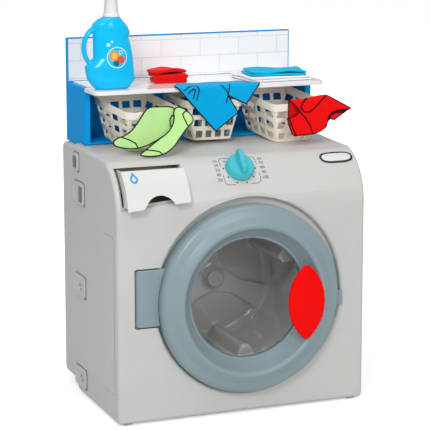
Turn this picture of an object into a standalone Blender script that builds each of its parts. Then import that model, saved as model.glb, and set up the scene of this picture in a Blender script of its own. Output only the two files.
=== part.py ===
"""Toy washing machine with a shelf unit, three baskets, a bottle and toy laundry on top.

Metres, +Z up, the front faces -Y. Every piece hangs under one empty that stands at the front
face, so inside this file y = 0 is the front face and y = DEPTH is the back.
"""
import math

import bmesh
import bpy
from mathutils import Matrix, Vector

# Body shells
WIDTH = 0.440
DEPTH = 0.302
SEAM_Y = 0.2256
FOOT_HEIGHT = 0.003
TOP_RISE = 0.005
REAR_DROP = 0.0055
REAR_BOTTOM_Z = 0.0175
REAR_INSET = 0.0025
REAR_CORNER = 0.012
WALL = 0.0035
EDGE_ROUND = 0.007
HEEL_ROUND = 0.016
FOOT_SIZE = 0.014
FOOT_INSET = 0.012
GAP = 0.0003

# Door: it fills the width between two side margins, and the flat front is as tall as the door needs
DOOR_X = 0.0075
DOOR_MARGIN = 0.062
DOOR_RADIUS = WIDTH / 2 - DOOR_MARGIN
DOOR_BELOW = 0.036
DOOR_Z = FOOT_HEIGHT + DOOR_BELOW + DOOR_RADIUS
DOOR_BACK_Y = 0.008
DOOR_SHOULDER = 0.010
SHOULDER_Y = 0.009
CREST_INSET = 0.033
CREST_RADIUS = DOOR_RADIUS - CREST_INSET
CREST_PROUD = 0.028
CREST_ROUND = 0.006
CREST_SLOPE = 0.014
CREST_FALL = 0.0045
FUNNEL = 0.024
WINDOW_RADIUS = CREST_RADIUS - FUNNEL
WINDOW_LIP = 0.006
LIP_PROUD = 0.002
WINDOW_SEAT_Y = 0.0030
WINDOW_THICKNESS = 0.0018
WINDOW_RISE = 0.007
CLAMP_CLEARANCE = 0.0006
SKIN = 0.0030
OPENING_MARGIN = 0.017
OPENING_RADIUS = WINDOW_RADIUS + OPENING_MARGIN
RECESS_SHIFT_X = 0.003
RECESS_SHIFT_Z = 0.004
RECESS_MARGIN = 0.0062
RECESS_DEPTH = 0.012
RECESS_LIP = 0.006

# Door handle
HANDLE_PROUD = 0.031
HANDLE_HEIGHT = 0.124
HANDLE_WIDTH = 0.066
HANDLE_THICKNESS = 0.006
HANDLE_DROP = 0.009
HANDLE_TIP = 0.0045
HANDLE_ROUND = 0.002
POST_WIDTH = 0.020
POST_HEIGHT = 0.060
POST_INSET = 0.012

# Latch on the door's free edge
LATCH_HEIGHT = 0.014
LATCH_PROUD = 0.0035
LATCH_DROP = 0.0005
LATCH_DEPTH = 0.010

# Door hinge
HINGE_REACH = 0.029
PIN_X = DOOR_X - DOOR_RADIUS - HINGE_REACH
PIN_Y = 0.0075
PIN_RADIUS = 0.003
PIN_CLEARANCE = 0.0003
BARREL_RADIUS = 0.0095
ARM_HEIGHT = 0.095
ARM_RISE = 0.0145
ARM_LOW_Z = DOOR_Z + ARM_RISE - ARM_HEIGHT / 2
ARM_HIGH_Z = ARM_LOW_Z + ARM_HEIGHT
POCKET_CLEARANCE = 0.002
POCKET_DEPTH = 0.020
EAR = 0.006
EAR_SKIN = 0.0015
TONGUE_THICKNESS = 0.004
TONGUE_REACH = 0.020
TONGUE_CLEARANCE = 0.003

# Curved control panel: part of a turn about a line across the machine, above the flat front
PANEL_RADIUS = 0.090
PANEL_TURN = math.radians(70.81)
PANEL_OVER_DOOR = 0.010
PANEL_AXIS_Z = DOOR_Z + DOOR_RADIUS - PANEL_OVER_DOOR
TOP_FRONT_Y = PANEL_RADIUS * (1 - math.cos(PANEL_TURN))
TOP_FRONT_Z = PANEL_AXIS_Z + PANEL_RADIUS * math.sin(PANEL_TURN)
TOP_SEAM_Z = TOP_FRONT_Z + TOP_RISE
REAR_TOP_Z = TOP_SEAM_Z - REAR_DROP

# Drum and tub
DRUM_CLEARANCE = 0.006
DRUM_RADIUS = OPENING_RADIUS - DRUM_CLEARANCE
DRUM_FRONT_Y = 0.022
DRUM_BACK_Y = 0.172
DRUM_HUB_Y = 0.152
DRUM_WALL = 0.0025
DRUM_HEEL = 0.010
HUB_RADIUS = 0.0147
HUB_CAP_THICKNESS = 0.006
TUB_CLEARANCE = 0.006
TUB_WALL = 0.0025
TUB_BACK_Y = 0.196
TUB_FLANGE = 0.012
TUB_FLANGE_THICKNESS = 0.003
TUB_BOSS = 0.012
AXLE_RADIUS = 0.004
AXLE_END = 0.008
NUT_RADIUS = 0.009
NUT_THICKNESS = 0.0052
BUSH_WALL = 0.002
RUNNING_GAP = 0.0003
PADDLE_HEIGHT = 0.024
PADDLE_WIDTH = 0.040
PADDLE_CREST = 0.016
PADDLE_COUNT = 3
ARM_COUNT = 3
ARM_ROOT = 0.012
ARM_WAIST = 0.050
ARM_THICKNESS = 0.012

# Dial
DIAL_X = 0.002
DIAL_TURN = math.radians(45.9)
KNOB_RADIUS = 0.0245
KNOB_TOP_RADIUS = 0.0225
KNOB_HEIGHT = 0.0125
KNOB_EDGE = 0.0015
KNOB_FOOT = 0.002
GRIP_HEIGHT = 0.027
GRIP_WIDTH = 0.0085
GRIP_ROOT = 0.004
SHAFT_RADIUS = 0.004
SHAFT_END = 0.003
DIAL_STEPS = 10
CLICK_WHEEL_RADIUS = 0.013
CLICK_WHEEL_THICKNESS = 0.004
CLICK_DEPTH = 0.0016
SEAT_MARGIN = 0.009
SEAT_THICKNESS = 0.007
LEAF_THICKNESS = 0.0008
LEAF_BULGE = 0.003

# Detergent drawer, which stands a little out
DRAWER_MARGIN = 0.0138
DRAWER_LEFT = -WIDTH / 2 + DRAWER_MARGIN
DRAWER_WIDTH = 0.1077
DRAWER_RIGHT = DRAWER_LEFT + DRAWER_WIDTH
DRAWER_BELOW_TOP = 0.0117
DRAWER_TOP_Z = TOP_FRONT_Z - DRAWER_BELOW_TOP
DRAWER_HEIGHT = 0.0593
DRAWER_BOTTOM_Z = DRAWER_TOP_Z - DRAWER_HEIGHT
DRAWER_SLANT = 0.0093
DRAWER_LAP = 0.0036
DRAWER_OPEN = 0.018
DRAWER_THICKNESS = 0.003
DRAWER_RETURN = 0.022
RETURN_WALL = 0.002
DRAWER_SLIT = 0.0012
DRAWER_LEFT_SLIT = 0.0030
DRAWER_LEDGE = 0.0028
NOTCH_X = DRAWER_LEFT + 0.0560
NOTCH_RADIUS = 0.0276
NOTCH_RISE = 0.0228
NOTCH_FOOT = 0.0035
TRAY_BELOW_TOP = 0.0043
TRAY_HIGH_Z = DRAWER_TOP_Z - TRAY_BELOW_TOP
TRAY_HEIGHT = 0.029
TRAY_LOW_Z = TRAY_HIGH_Z - TRAY_HEIGHT
TRAY_LENGTH = 0.105
TRAY_WALL = 0.002
TRAY_CLEARANCE = 0.0005
SLEEVE_END = 0.010
RAIL_WIDTH = 0.004
RAIL_START_Y = 0.034
RAIL_END_Y = 0.087

# Shelf unit
UNIT_INSET = 0.0115
UNIT_HALF_WIDTH = WIDTH / 2 - UNIT_INSET
UNIT_FRONT_Y = 0.1975
UNIT_WALL = 0.010
UNIT_INNER = UNIT_HALF_WIDTH - UNIT_WALL
UNIT_FLOOR = 0.0035
UNIT_FLOOR_TOP = TOP_SEAM_Z + GAP + UNIT_FLOOR
SHELF_RISE = 0.0975
SHELF_TOP_Z = TOP_SEAM_Z + SHELF_RISE
SHELF_THICKNESS = 0.007
SHELF_OVER_WALLS = 0.002
SHELF_FRONT_Y = 0.139
SHELF_CORNER = 0.014
SHELF_EDGE = 0.0012
LEDGE = 0.008
LEDGE_THICKNESS = 0.006
SPLASH_RISE = 0.075
SPLASH_TOP_Z = SHELF_TOP_Z + SPLASH_RISE
SPLASH_THICKNESS = 0.0095
SPLASH_FRONT_Y = DEPTH - SPLASH_THICKNESS
SPLASH_RIM = 0.0019
TILE_THICKNESS = 0.003

# Baskets: three fit side by side in the unit with this much room left, shared between them
BASKET_ROOM = 0.0868
BASKET_LEFT_ROOM = 0.0276
BASKET_NEXT_ROOM = 0.0208
BASKET_RIGHT_ROOM = 0.0038
BASKET_BACK_ROOM = 0.187
BASKET_HEADROOM = 0.0170
BASKET_FLARE = 0.0125
BASKET_RIM = 0.0125
BASKET_RIM_PROUD = 0.0022
BASKET_RIM_FLARE = 0.001
BASKET_SPREAD = BASKET_FLARE + BASKET_RIM_PROUD + BASKET_RIM_FLARE
BASKET_RIM_WIDTH = (2 * UNIT_INNER - BASKET_ROOM) / 3
BASKET_WIDTH = BASKET_RIM_WIDTH - 2 * BASKET_SPREAD
BASKET_LENGTH = DEPTH - BASKET_BACK_ROOM
BASKET_HEIGHT = SHELF_TOP_Z - SHELF_THICKNESS - UNIT_FLOOR_TOP - BASKET_HEADROOM
BASKET_CORNER = 0.012
BASKET_WALL = 0.0018
BASKET_OUT = 0.0735
BASKET_MIDDLE_OUT = 0.045
BASKET_LEFT_X = -UNIT_INNER + BASKET_LEFT_ROOM + BASKET_RIM_WIDTH / 2
BASKET_MIDDLE_X = BASKET_LEFT_X + BASKET_RIM_WIDTH + BASKET_NEXT_ROOM
BASKET_RIGHT_X = UNIT_INNER - BASKET_RIGHT_ROOM - BASKET_RIM_WIDTH / 2
HOLE_ROWS = 3
HOLE_COLUMNS = 4
HOLE_LOW = 0.0047
HOLE_HEIGHT = 0.012
HOLE_PITCH = 0.020
HOLE_POST = 0.008
HOLE_BAR = 0.006

# Bottle
BOTTLE_X = -UNIT_HALF_WIDTH + 0.0405
BOTTLE_Y = 0.176
BOTTLE_HANDLE_RADIUS = 0.0044
BOTTLE_HANDLE_DEPTH = 1.4
BOTTLE_HEIGHT = 0.1195
CAP_RADIUS = 0.0140
CAP_BAND = 0.003
CAP_TOP_RADIUS = 0.0095
CAP_HEIGHT = 0.038
CAP_STEP = 0.001

# Laundry
FELT = 0.003
SHORTS_THICKNESS = 0.0024
SHORTS_CLEARANCE = 0.0043
FOLDED_WIDTH = 0.068
FOLDED_LENGTH = 0.057
FOLDED_HEIGHT = 0.022
FOLDED_RIGHT = -0.012
TOWEL_LEFT = 0.074
TOWEL_INSET = 0.0165
TOWEL_LENGTH = 0.102
WHITE_TOWEL_HEIGHT = 0.008
TEAL_TOWEL_HEIGHT = 0.012
TEAL_TOWEL_INSET = 0.004

# Side clips
CLIP_PROUD = 0.0035
CLIP_LENGTH = 0.058
CLIP_END_Y = 0.2250
CLIP_CORNER = 0.008
CLIP_EDGE = 0.0012
CLIP_DISH = 0.0012
CLIP_BORDER = 0.006
CLIP_HEIGHTS = ((0.3900, 0.4220), (0.3350, 0.3740), (0.1750, 0.2130), (0.0160, 0.0500))

DOOR_STEPS = 44
WINDOW_STEPS = 36
TUB_STEPS = 32
SMALL_STEPS = 24
PIN_STEPS = 16


def clear_scene():
    for item in list(bpy.data.objects):
        bpy.data.objects.remove(item)


def new_collection(name):
    made = bpy.data.collections.new(name)
    bpy.context.scene.collection.children.link(made)
    return made


def material(name, colour, roughness, metallic=0.0, alpha=1.0):
    made = bpy.data.materials.new(name)
    made.use_nodes = True
    shader = made.node_tree.nodes["Principled BSDF"]
    shader.inputs["Base Color"].default_value = (*colour, 1.0)
    shader.inputs["Roughness"].default_value = roughness
    shader.inputs["Metallic"].default_value = metallic
    shader.inputs["Alpha"].default_value = alpha
    return made


clear_scene()
PARTS = new_collection("toy_washing_machine")
CUTTERS = new_collection("cutters")
MACHINE = bpy.data.objects.new("machine", None)
PARTS.objects.link(MACHINE)
MACHINE.location = (0.0, -(DEPTH - HANDLE_PROUD) / 2, 0.0)

GREY = material("body_grey", (0.60, 0.60, 0.59), 0.45)
DARK_GREY = material("clip_grey", (0.50, 0.50, 0.50), 0.5)
SLATE = material("door_slate", (0.33, 0.42, 0.45), 0.40)
CLEAR = material("window_clear", (0.90, 0.92, 0.93), 0.05, alpha=0.25)
RED = material("handle_red", (0.85, 0.01, 0.01), 0.35)
DRUM_GREY = material("drum_grey", (0.36, 0.36, 0.36), 0.35)
STEEL = material("pin_steel", (0.70, 0.70, 0.72), 0.30, metallic=1.0)
NYLON = material("nylon_white", (0.80, 0.80, 0.78), 0.5)
TURQUOISE = material("dial_turquoise", (0.13, 0.60, 0.67), 0.35)
WHITE = material("drawer_white", (0.80, 0.80, 0.79), 0.40)
BLUE = material("unit_blue", (0.005, 0.28, 0.68), 0.35)
SHELF_WHITE = material("shelf_white", (0.86, 0.87, 0.88), 0.25)
CREAM = material("basket_cream", (0.84, 0.78, 0.68), 0.45)
BOTTLE_BLUE = material("bottle_blue", (0.0, 0.46, 0.88), 0.30)
GREEN_CLOTH = material("cloth_green", (0.42, 0.78, 0.25), 0.9)
BLUE_CLOTH = material("cloth_blue", (0.0, 0.33, 0.68), 0.9)
RED_CLOTH = material("cloth_red", (0.80, 0.03, 0.02), 0.9)
TEAL_CLOTH = material("cloth_teal", (0.02, 0.50, 0.65), 0.9)
WHITE_CLOTH = material("cloth_white", (0.85, 0.85, 0.87), 0.9)


def place(name, mesh, finish=None):
    """A mesh as an object under the machine: a part when it has a finish, else a cutter."""
    item = bpy.data.objects.new(name, mesh)
    item.parent = MACHINE
    if finish:
        PARTS.objects.link(item)
        mesh.materials.clear()
        mesh.materials.append(finish)
        mesh.shade_smooth()
        mesh.set_sharp_from_angle(angle=math.radians(35))
    else:
        CUTTERS.objects.link(item)
        item.hide_render = True
        item.display_type = "WIRE"
    return item


def join(item, other):
    step = item.modifiers.new("join " + other.name, "BOOLEAN")
    step.operation = "UNION"
    step.object = other


def cut(item, other):
    step = item.modifiers.new("cut " + other.name, "BOOLEAN")
    step.operation = "DIFFERENCE"
    step.object = other


def round_off(item, width, segments=2):
    """Rounded edges wherever the shape turns by more than 30 degrees."""
    step = item.modifiers.new("round", "BEVEL")
    step.width = width
    step.segments = segments
    step.limit_method = "ANGLE"


def thicken(item, thickness):
    step = item.modifiers.new("wall", "SOLIDIFY")
    step.thickness = thickness
    step.offset = -1.0
    step.use_even_offset = True


def finished(shape, name):
    mesh = bpy.data.meshes.new(name)
    bmesh.ops.recalc_face_normals(shape, faces=shape.faces)
    shape.to_mesh(mesh)
    shape.free()
    return mesh


def block(name, low, high, rounding=0.0, segments=2):
    """A box between two corners, with its edges rounded."""
    shape = bmesh.new()
    bmesh.ops.create_cube(shape, size=1.0)
    size = Vector(high) - Vector(low)
    bmesh.ops.scale(shape, vec=size, verts=shape.verts)
    bmesh.ops.translate(shape, vec=(Vector(high) + Vector(low)) / 2, verts=shape.verts)
    if rounding:
        bmesh.ops.bevel(shape, geom=shape.edges[:], offset=rounding, segments=segments, profile=0.5,
                        affect="EDGES", material=-1)
    return finished(shape, name)


def disc(name, radius, thickness, sides=SMALL_STEPS):
    """A plain disc about Z."""
    shape = bmesh.new()
    bmesh.ops.create_cone(shape, cap_ends=True, segments=sides, radius1=radius, radius2=radius, depth=thickness)
    return finished(shape, name)


def curve_mesh(name, curve):
    """A curve's evaluated surface as a mesh of its own, with its caps welded on."""
    holder = bpy.data.objects.new(name, curve)
    bpy.context.scene.collection.objects.link(holder)
    bpy.context.view_layer.update()
    mesh = bpy.data.meshes.new_from_object(holder.evaluated_get(bpy.context.evaluated_depsgraph_get()))
    bpy.data.objects.remove(holder)
    shape = bmesh.new()
    shape.from_mesh(mesh)
    bmesh.ops.remove_doubles(shape, verts=shape.verts, dist=1e-6)
    return finished(shape, name)


def outline(name, points, thickness):
    """A flat outline, filled and thickened about its own plane."""
    curve = bpy.data.curves.new(name, "CURVE")
    curve.dimensions = "2D"
    curve.fill_mode = "BOTH"
    curve.extrude = thickness / 2
    line = curve.splines.new("POLY")
    line.points.add(len(points) - 1)
    line.use_cyclic_u = True
    for point, (x, y) in zip(line.points, points):
        point.co = (x, y, 0.0, 1.0)
    return curve_mesh(name, curve)


def tube(name, points, radius, resolution=2):
    """A round rod through a few points, smooth between them."""
    curve = bpy.data.curves.new(name, "CURVE")
    curve.dimensions = "3D"
    curve.bevel_depth = radius
    curve.bevel_resolution = resolution
    curve.use_fill_caps = True
    curve.resolution_u = 3
    line = curve.splines.new("BEZIER")
    line.bezier_points.add(len(points) - 1)
    for knot, place_of in zip(line.bezier_points, points):
        knot.co = place_of
        knot.handle_left_type = "AUTO"
        knot.handle_right_type = "AUTO"
    return curve_mesh(name, curve)


# What an outline's own X, Y and Z become on the machine, for each way that it is stretched
ACROSS = Matrix(((0, 0, 1), (1, 0, 0), (0, 1, 0)))
INWARD = Matrix(((1, 0, 0), (0, 0, -1), (0, 1, 0)))


def stretched(name, points, low, high, turn, along):
    """An outline stretched from low to high along one axis of the machine."""
    mesh = outline(name, points, high - low)
    mesh.transform(Matrix.Translation(Vector(along) * (low + high) / 2) @ turn.to_4x4())
    return mesh


def side_outline(name, points, x_low, x_high):
    """An outline given as (y, z), stretched across the machine."""
    return stretched(name, points, x_low, x_high, ACROSS, (1, 0, 0))


def front_outline(name, points, y_low, y_high):
    """An outline given as (x, z), stretched in depth."""
    return stretched(name, points, y_low, y_high, INWARD, (0, 1, 0))


def plan_outline(name, points, z_low, z_high):
    """An outline given as (x, y), stretched in height."""
    return stretched(name, points, z_low, z_high, Matrix.Identity(3), (0, 0, 1))


def turned(name, profile, steps, finish, origin, tilt=math.pi / 2, closed=False):
    """A (radius, height) profile turned by a Screw modifier; height runs to the viewer, up where tilt is 0."""
    area = sum(a[0] * b[1] - b[0] * a[1] for a, b in zip(profile, profile[1:] + profile[:1]))
    points = list(profile) if area < 0 else list(reversed(profile))
    shape = bmesh.new()
    corners = [shape.verts.new((radius, 0.0, height)) for radius, height in points]
    for first, second in zip(corners, corners[1:] + (corners[:1] if closed else [])):
        shape.edges.new((first, second))
    mesh = bpy.data.meshes.new(name)
    shape.to_mesh(mesh)
    shape.free()
    item = place(name, mesh, finish)
    item.location = origin
    item.rotation_euler = (tilt, 0.0, 0.0)
    turn = item.modifiers.new("turned", "SCREW")
    turn.steps = steps
    turn.render_steps = steps
    turn.use_merge_vertices = True
    turn.merge_threshold = 0.00001
    turn.use_smooth_shade = True
    return item


def rod(name, radius, low, high, steps, finish, origin, tilt=math.pi / 2):
    """A plain round rod or hole between two heights."""
    return turned(name, [(0.0, low), (radius, low), (radius, high), (0.0, high)], steps, finish, origin, tilt)


def ring(name, inner, outer, low, high, steps, finish, origin, tilt=math.pi / 2):
    """A plain ring or bush between two heights."""
    return turned(name, [(inner, low), (outer, low), (outer, high), (inner, high)], steps, finish, origin, tilt,
                  closed=True)


def arc(centre, radius, start, end, count):
    """Points on an arc, both ends included, angles in degrees."""
    angles = [math.radians(start + (end - start) * i / count) for i in range(count + 1)]
    return [(centre[0] + radius * math.cos(a), centre[1] + radius * math.sin(a)) for a in angles]


def panel_y(z):
    """How far the curved panel lies behind the front face at a height."""
    rise = max(z - PANEL_AXIS_Z, 0.0)
    return PANEL_RADIUS - math.sqrt(PANEL_RADIUS ** 2 - rise ** 2)


def panel_arc(radius, z_low, z_high, count=8, back=0.0):
    """(y, z) points of the panel's curve at a radius, between two heights, moved back by a distance."""
    low = math.degrees(math.asin((z_low - PANEL_AXIS_Z) / radius))
    high = math.degrees(math.asin((z_high - PANEL_AXIS_Z) / radius))
    return arc((PANEL_RADIUS + back, PANEL_AXIS_Z), radius, 180 - low, 180 - high, count)


def top_z(y):
    """Height of the body's sloping top at a depth."""
    share = (y - TOP_FRONT_Y) / (SEAM_Y - TOP_FRONT_Y)
    return TOP_FRONT_Z + share * (TOP_SEAM_Z - TOP_FRONT_Z)


DIAL_NORMAL = Vector((0.0, -math.cos(DIAL_TURN), math.sin(DIAL_TURN)))
DIAL_CENTRE = Vector((DIAL_X, PANEL_RADIUS, PANEL_AXIS_Z)) + PANEL_RADIUS * DIAL_NORMAL
DIAL_TILT = math.pi / 2 - DIAL_TURN
DIAL_FRAME = Matrix.Translation(DIAL_CENTRE) @ Matrix.Rotation(DIAL_TILT, 4, "X")
DIAL_WALL = -(WALL / 2 + SEAT_THICKNESS)
RECESS_CENTRE = (DOOR_X + RECESS_SHIFT_X, 0.0, DOOR_Z + RECESS_SHIFT_Z)
RECESS_RADIUS = DOOR_RADIUS + RECESS_MARGIN
DOOR_CENTRE = (DOOR_X, 0.0, DOOR_Z)
PIN_PLACE = (PIN_X, PIN_Y, 0.0)
POCKET_LOW_Z = ARM_LOW_Z - 3 * PIN_CLEARANCE
POCKET_HIGH_Z = ARM_HIGH_Z + 3 * PIN_CLEARANCE
MOUTH_LEFT = DRAWER_LEFT - DRAWER_LEFT_SLIT
MOUTH_RIGHT = DRAWER_RIGHT + DRAWER_SLIT
MOUTH_LOW_Z = DRAWER_BOTTOM_Z + DRAWER_LAP
MOUTH_HIGH_Z = DRAWER_TOP_Z + DRAWER_SLIT
FAR = 0.5


def shell_bin(name, side_profile, half_width, rounding, segments=3):
    """A thin-walled bin: a side profile of (y, z) stretched across, its open face where the profile closes."""
    shape = bmesh.new()
    corners = [shape.verts.new((-half_width, y, z)) for y, z in side_profile]
    face = shape.faces.new(corners)
    moved = bmesh.ops.extrude_face_region(shape, geom=[face])
    bmesh.ops.translate(shape, vec=(2 * half_width, 0, 0),
                        verts=[v for v in moved["geom"] if isinstance(v, bmesh.types.BMVert)])
    bmesh.ops.recalc_face_normals(shape, faces=shape.faces)
    mouth_y = side_profile[0][0]
    mouth = [f for f in shape.faces if all(abs(v.co.y - mouth_y) < 1e-6 for v in f.verts)]
    bmesh.ops.delete(shape, geom=mouth, context="FACES")
    rims = [e for e in shape.edges if len(e.link_faces) == 2
            and abs(e.verts[0].co.x - e.verts[1].co.x) < 1e-6
            and any(len(f.verts) > 4 for f in e.link_faces)]
    bmesh.ops.bevel(shape, geom=rims, offset=rounding, segments=segments, profile=0.5,
                    affect="EDGES", material=-1)
    mesh = bpy.data.meshes.new(name)
    shape.to_mesh(mesh)
    shape.free()
    return mesh


def front_shell():
    """The front moulding: front face, curved control panel, top, bottom and sides, open to the back."""
    profile = [(SEAM_Y, TOP_SEAM_Z)]
    profile += reversed(panel_arc(PANEL_RADIUS, PANEL_AXIS_Z, TOP_FRONT_Z, 10))
    profile += arc((EDGE_ROUND, FOOT_HEIGHT + EDGE_ROUND), EDGE_ROUND, 180, 270, 3)
    profile += arc((SEAM_Y - HEEL_ROUND, FOOT_HEIGHT + HEEL_ROUND), HEEL_ROUND, 270, 360, 4)
    shell = place("front_shell", shell_bin("front_shell", profile, WIDTH / 2, EDGE_ROUND), GREY)
    thicken(shell, WALL)
    add_backing(shell)
    cut_door_space(shell)
    cut_drawer_space(shell)
    shaft_hole = place("shaft_hole", disc("shaft_hole", SHAFT_RADIUS + GAP, 4 * CLICK_WHEEL_RADIUS, PIN_STEPS))
    shaft_hole.matrix_local = DIAL_FRAME
    cut(shell, shaft_hole)
    return shell


def add_backing(shell):
    """Walls behind the front face: the door recess's floor, the hinge pocket, drawer frame and dial seat."""
    floor_back = RECESS_DEPTH + WALL
    boss = turned("recess_boss", [(0.0, -WALL / 2), (RECESS_RADIUS + 2 * WALL, -WALL / 2),
                                  (RECESS_RADIUS + WALL, -floor_back), (0.0, -floor_back)],
                  DOOR_STEPS, None, RECESS_CENTRE)
    join(shell, boss)
    pocket_left = PIN_X - BARREL_RADIUS - POCKET_CLEARANCE
    pocket_right = DOOR_X - DOOR_RADIUS + TONGUE_REACH
    hinge_box = block("hinge_box", (pocket_left - WALL, WALL / 2, POCKET_LOW_Z - EAR),
                      (pocket_right + WALL, POCKET_DEPTH + WALL, POCKET_HIGH_Z + EAR))
    join(shell, place("hinge_box", hinge_box))
    low = DRAWER_BOTTOM_Z - DRAWER_SLIT - WALL
    high = MOUTH_HIGH_Z + DRAWER_SLIT + WALL / 2
    band = panel_arc(PANEL_RADIUS - WALL / 2, low, high)
    band += reversed(panel_arc(PANEL_RADIUS - DRAWER_THICKNESS - GAP - WALL, low, high))
    frame = side_outline("drawer_frame", band, MOUTH_LEFT - DRAWER_LEDGE - WALL / 2, MOUTH_RIGHT + WALL)
    join(shell, place("drawer_frame", frame))
    seat = place("dial_seat", disc("dial_seat", CLICK_WHEEL_RADIUS + SEAT_MARGIN, SEAT_THICKNESS))
    seat.matrix_local = DIAL_FRAME @ Matrix.Translation((0, 0, -(WALL + SEAT_THICKNESS) / 2))
    join(shell, seat)


def cut_door_space(shell):
    """The recess that the door lies in, the opening behind the window, and the hinge pocket with its bores."""
    lip = arc((RECESS_RADIUS + RECESS_LIP, -RECESS_LIP), RECESS_LIP, 180, 90, 3)
    recess = turned("recess", [(0.0, -RECESS_DEPTH), (RECESS_RADIUS, -RECESS_DEPTH)] + lip
                    + [(RECESS_RADIUS + RECESS_LIP, RECESS_DEPTH), (0.0, RECESS_DEPTH)],
                    DOOR_STEPS, None, RECESS_CENTRE)
    cut(shell, recess)
    reach = 2 * RECESS_DEPTH + WALL
    cut(shell, rod("opening", OPENING_RADIUS, -reach, reach, DOOR_STEPS, None, DOOR_CENTRE))
    pocket = block("hinge_pocket", (PIN_X - BARREL_RADIUS - POCKET_CLEARANCE, -POCKET_DEPTH, POCKET_LOW_Z),
                   (DOOR_X - DOOR_RADIUS + TONGUE_REACH, POCKET_DEPTH, POCKET_HIGH_Z))
    cut(shell, place("hinge_pocket", pocket))
    cut(shell, rod("pin_hole", PIN_RADIUS + PIN_CLEARANCE, POCKET_LOW_Z - EAR + EAR_SKIN,
                   POCKET_HIGH_Z + EAR - EAR_SKIN, PIN_STEPS, None, PIN_PLACE, 0.0))


def drawer_slant(name, left_z, y_low, y_high):
    """Everything under a line that rises to the right as the drawer's lower edge does, from its left height."""
    slope = DRAWER_SLANT / DRAWER_WIDTH
    left = DRAWER_LEFT - DRAWER_WIDTH / 2
    right = DRAWER_RIGHT + DRAWER_WIDTH / 2
    under = left_z - DRAWER_HEIGHT
    points = [(left, under), (right, under), (right, left_z + slope * (right - DRAWER_LEFT)),
              (left, left_z - slope * DRAWER_WIDTH / 2)]
    return place(name, front_outline(name, points, y_low, y_high))


def cut_drawer_space(shell):
    """A shallow curved recess round the drawer's front, and the mouth through it that its box slides in."""
    low = DRAWER_BOTTOM_Z - DRAWER_SLIT
    band = panel_arc(PANEL_RADIUS - DRAWER_THICKNESS - GAP, low, MOUTH_HIGH_Z + DRAWER_SLIT)
    band += [(-DRAWER_OPEN, MOUTH_HIGH_Z + DRAWER_SLIT), (-DRAWER_OPEN, low)]
    recess = place("drawer_recess", side_outline("drawer_recess", band, MOUTH_LEFT - DRAWER_LEDGE,
                                                 MOUTH_RIGHT + GAP))
    cut(recess, drawer_slant("recess_slant", low, -PANEL_RADIUS, PANEL_RADIUS))
    cut(shell, recess)
    mouth_points = [(MOUTH_LEFT, MOUTH_LOW_Z), (MOUTH_RIGHT, MOUTH_LOW_Z + DRAWER_SLANT),
                    (MOUTH_RIGHT, MOUTH_HIGH_Z), (MOUTH_LEFT, MOUTH_HIGH_Z)]
    mouth = front_outline("drawer_mouth", mouth_points, -DRAWER_OPEN, PANEL_RADIUS)
    cut(shell, place("drawer_mouth", mouth))


def rear_shell():
    """The back cover: a shallow bin with rounded corners, lower and narrower than the front moulding."""
    start = SEAM_Y + GAP
    profile = [(start, REAR_BOTTOM_Z)]
    profile += arc((DEPTH - REAR_CORNER, REAR_BOTTOM_Z + REAR_CORNER), REAR_CORNER, 270, 360, 4)
    profile += arc((DEPTH - REAR_CORNER, REAR_TOP_Z - REAR_CORNER), REAR_CORNER, 0, 90, 4)
    profile += [(start, REAR_TOP_Z)]
    shell = place("rear_shell", shell_bin("rear_shell", profile, WIDTH / 2 - REAR_INSET, EDGE_ROUND), GREY)
    thicken(shell, WALL)


def feet():
    """Four small pads under the front moulding."""
    for side, x in (("left", -WIDTH / 2 + FOOT_INSET), ("right", WIDTH / 2 - FOOT_INSET - FOOT_SIZE)):
        for end, y in (("front", FOOT_INSET / 2), ("rear", SEAM_Y - HEEL_ROUND - FOOT_SIZE)):
            far = (x + FOOT_SIZE, y + FOOT_SIZE, FOOT_HEIGHT - GAP)
            pad = block("foot", (x, y, 0), far, FOOT_HEIGHT / 4, 1)
            place("foot_%s_%s" % (end, side), pad, GREY)


def clip_mesh(length, height, sign):
    """A rounded block with a shallow dish in its outer face, about its own middle."""
    shape = bmesh.new()
    bmesh.ops.create_cube(shape, size=1.0)
    size = Vector((CLIP_PROUD - GAP, length, height))
    bmesh.ops.scale(shape, vec=size, verts=shape.verts)
    corners = [e for e in shape.edges if abs(e.verts[0].co.x - e.verts[1].co.x) > 1e-6]
    bmesh.ops.bevel(shape, geom=corners, offset=CLIP_CORNER, segments=3, profile=0.5, affect="EDGES",
                    material=-1)
    outer = [f for f in shape.faces if all(v.co.x * sign > size.x / 2 - 1e-6 for v in f.verts)]
    rim = list(outer[0].edges)
    bmesh.ops.inset_region(shape, faces=outer, thickness=CLIP_BORDER, depth=0.0)
    bmesh.ops.inset_region(shape, faces=outer, thickness=CLIP_EDGE, depth=-CLIP_DISH)
    bmesh.ops.bevel(shape, geom=rim, offset=CLIP_EDGE, segments=1, profile=0.5, affect="EDGES", material=-1)
    return finished(shape, "clip")


def side_clips():
    """Rounded blocks on both sides that lock the two shells together at the seam."""
    for index, (low, high) in enumerate(CLIP_HEIGHTS):
        length = CLIP_LENGTH if index else CLIP_LENGTH / 2
        for side, sign in (("left", -1), ("right", 1)):
            clip = place("clip_%s_%d" % (side, index + 1), clip_mesh(length, high - low, sign), DARK_GREY)
            out = WIDTH / 2 + (GAP + CLIP_PROUD) / 2
            clip.location = (sign * out, CLIP_END_Y - length / 2, (low + high) / 2)


def crest():
    """(radius, height) points of the door ring's crest and the funnel down to the window."""
    rounded = arc((CREST_RADIUS, CREST_PROUD - CREST_ROUND), CREST_ROUND, 75, 165, 3)
    return rounded + [(WINDOW_RADIUS + WINDOW_LIP, LIP_PROUD), (WINDOW_RADIUS, -WINDOW_SEAT_Y)]


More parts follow.
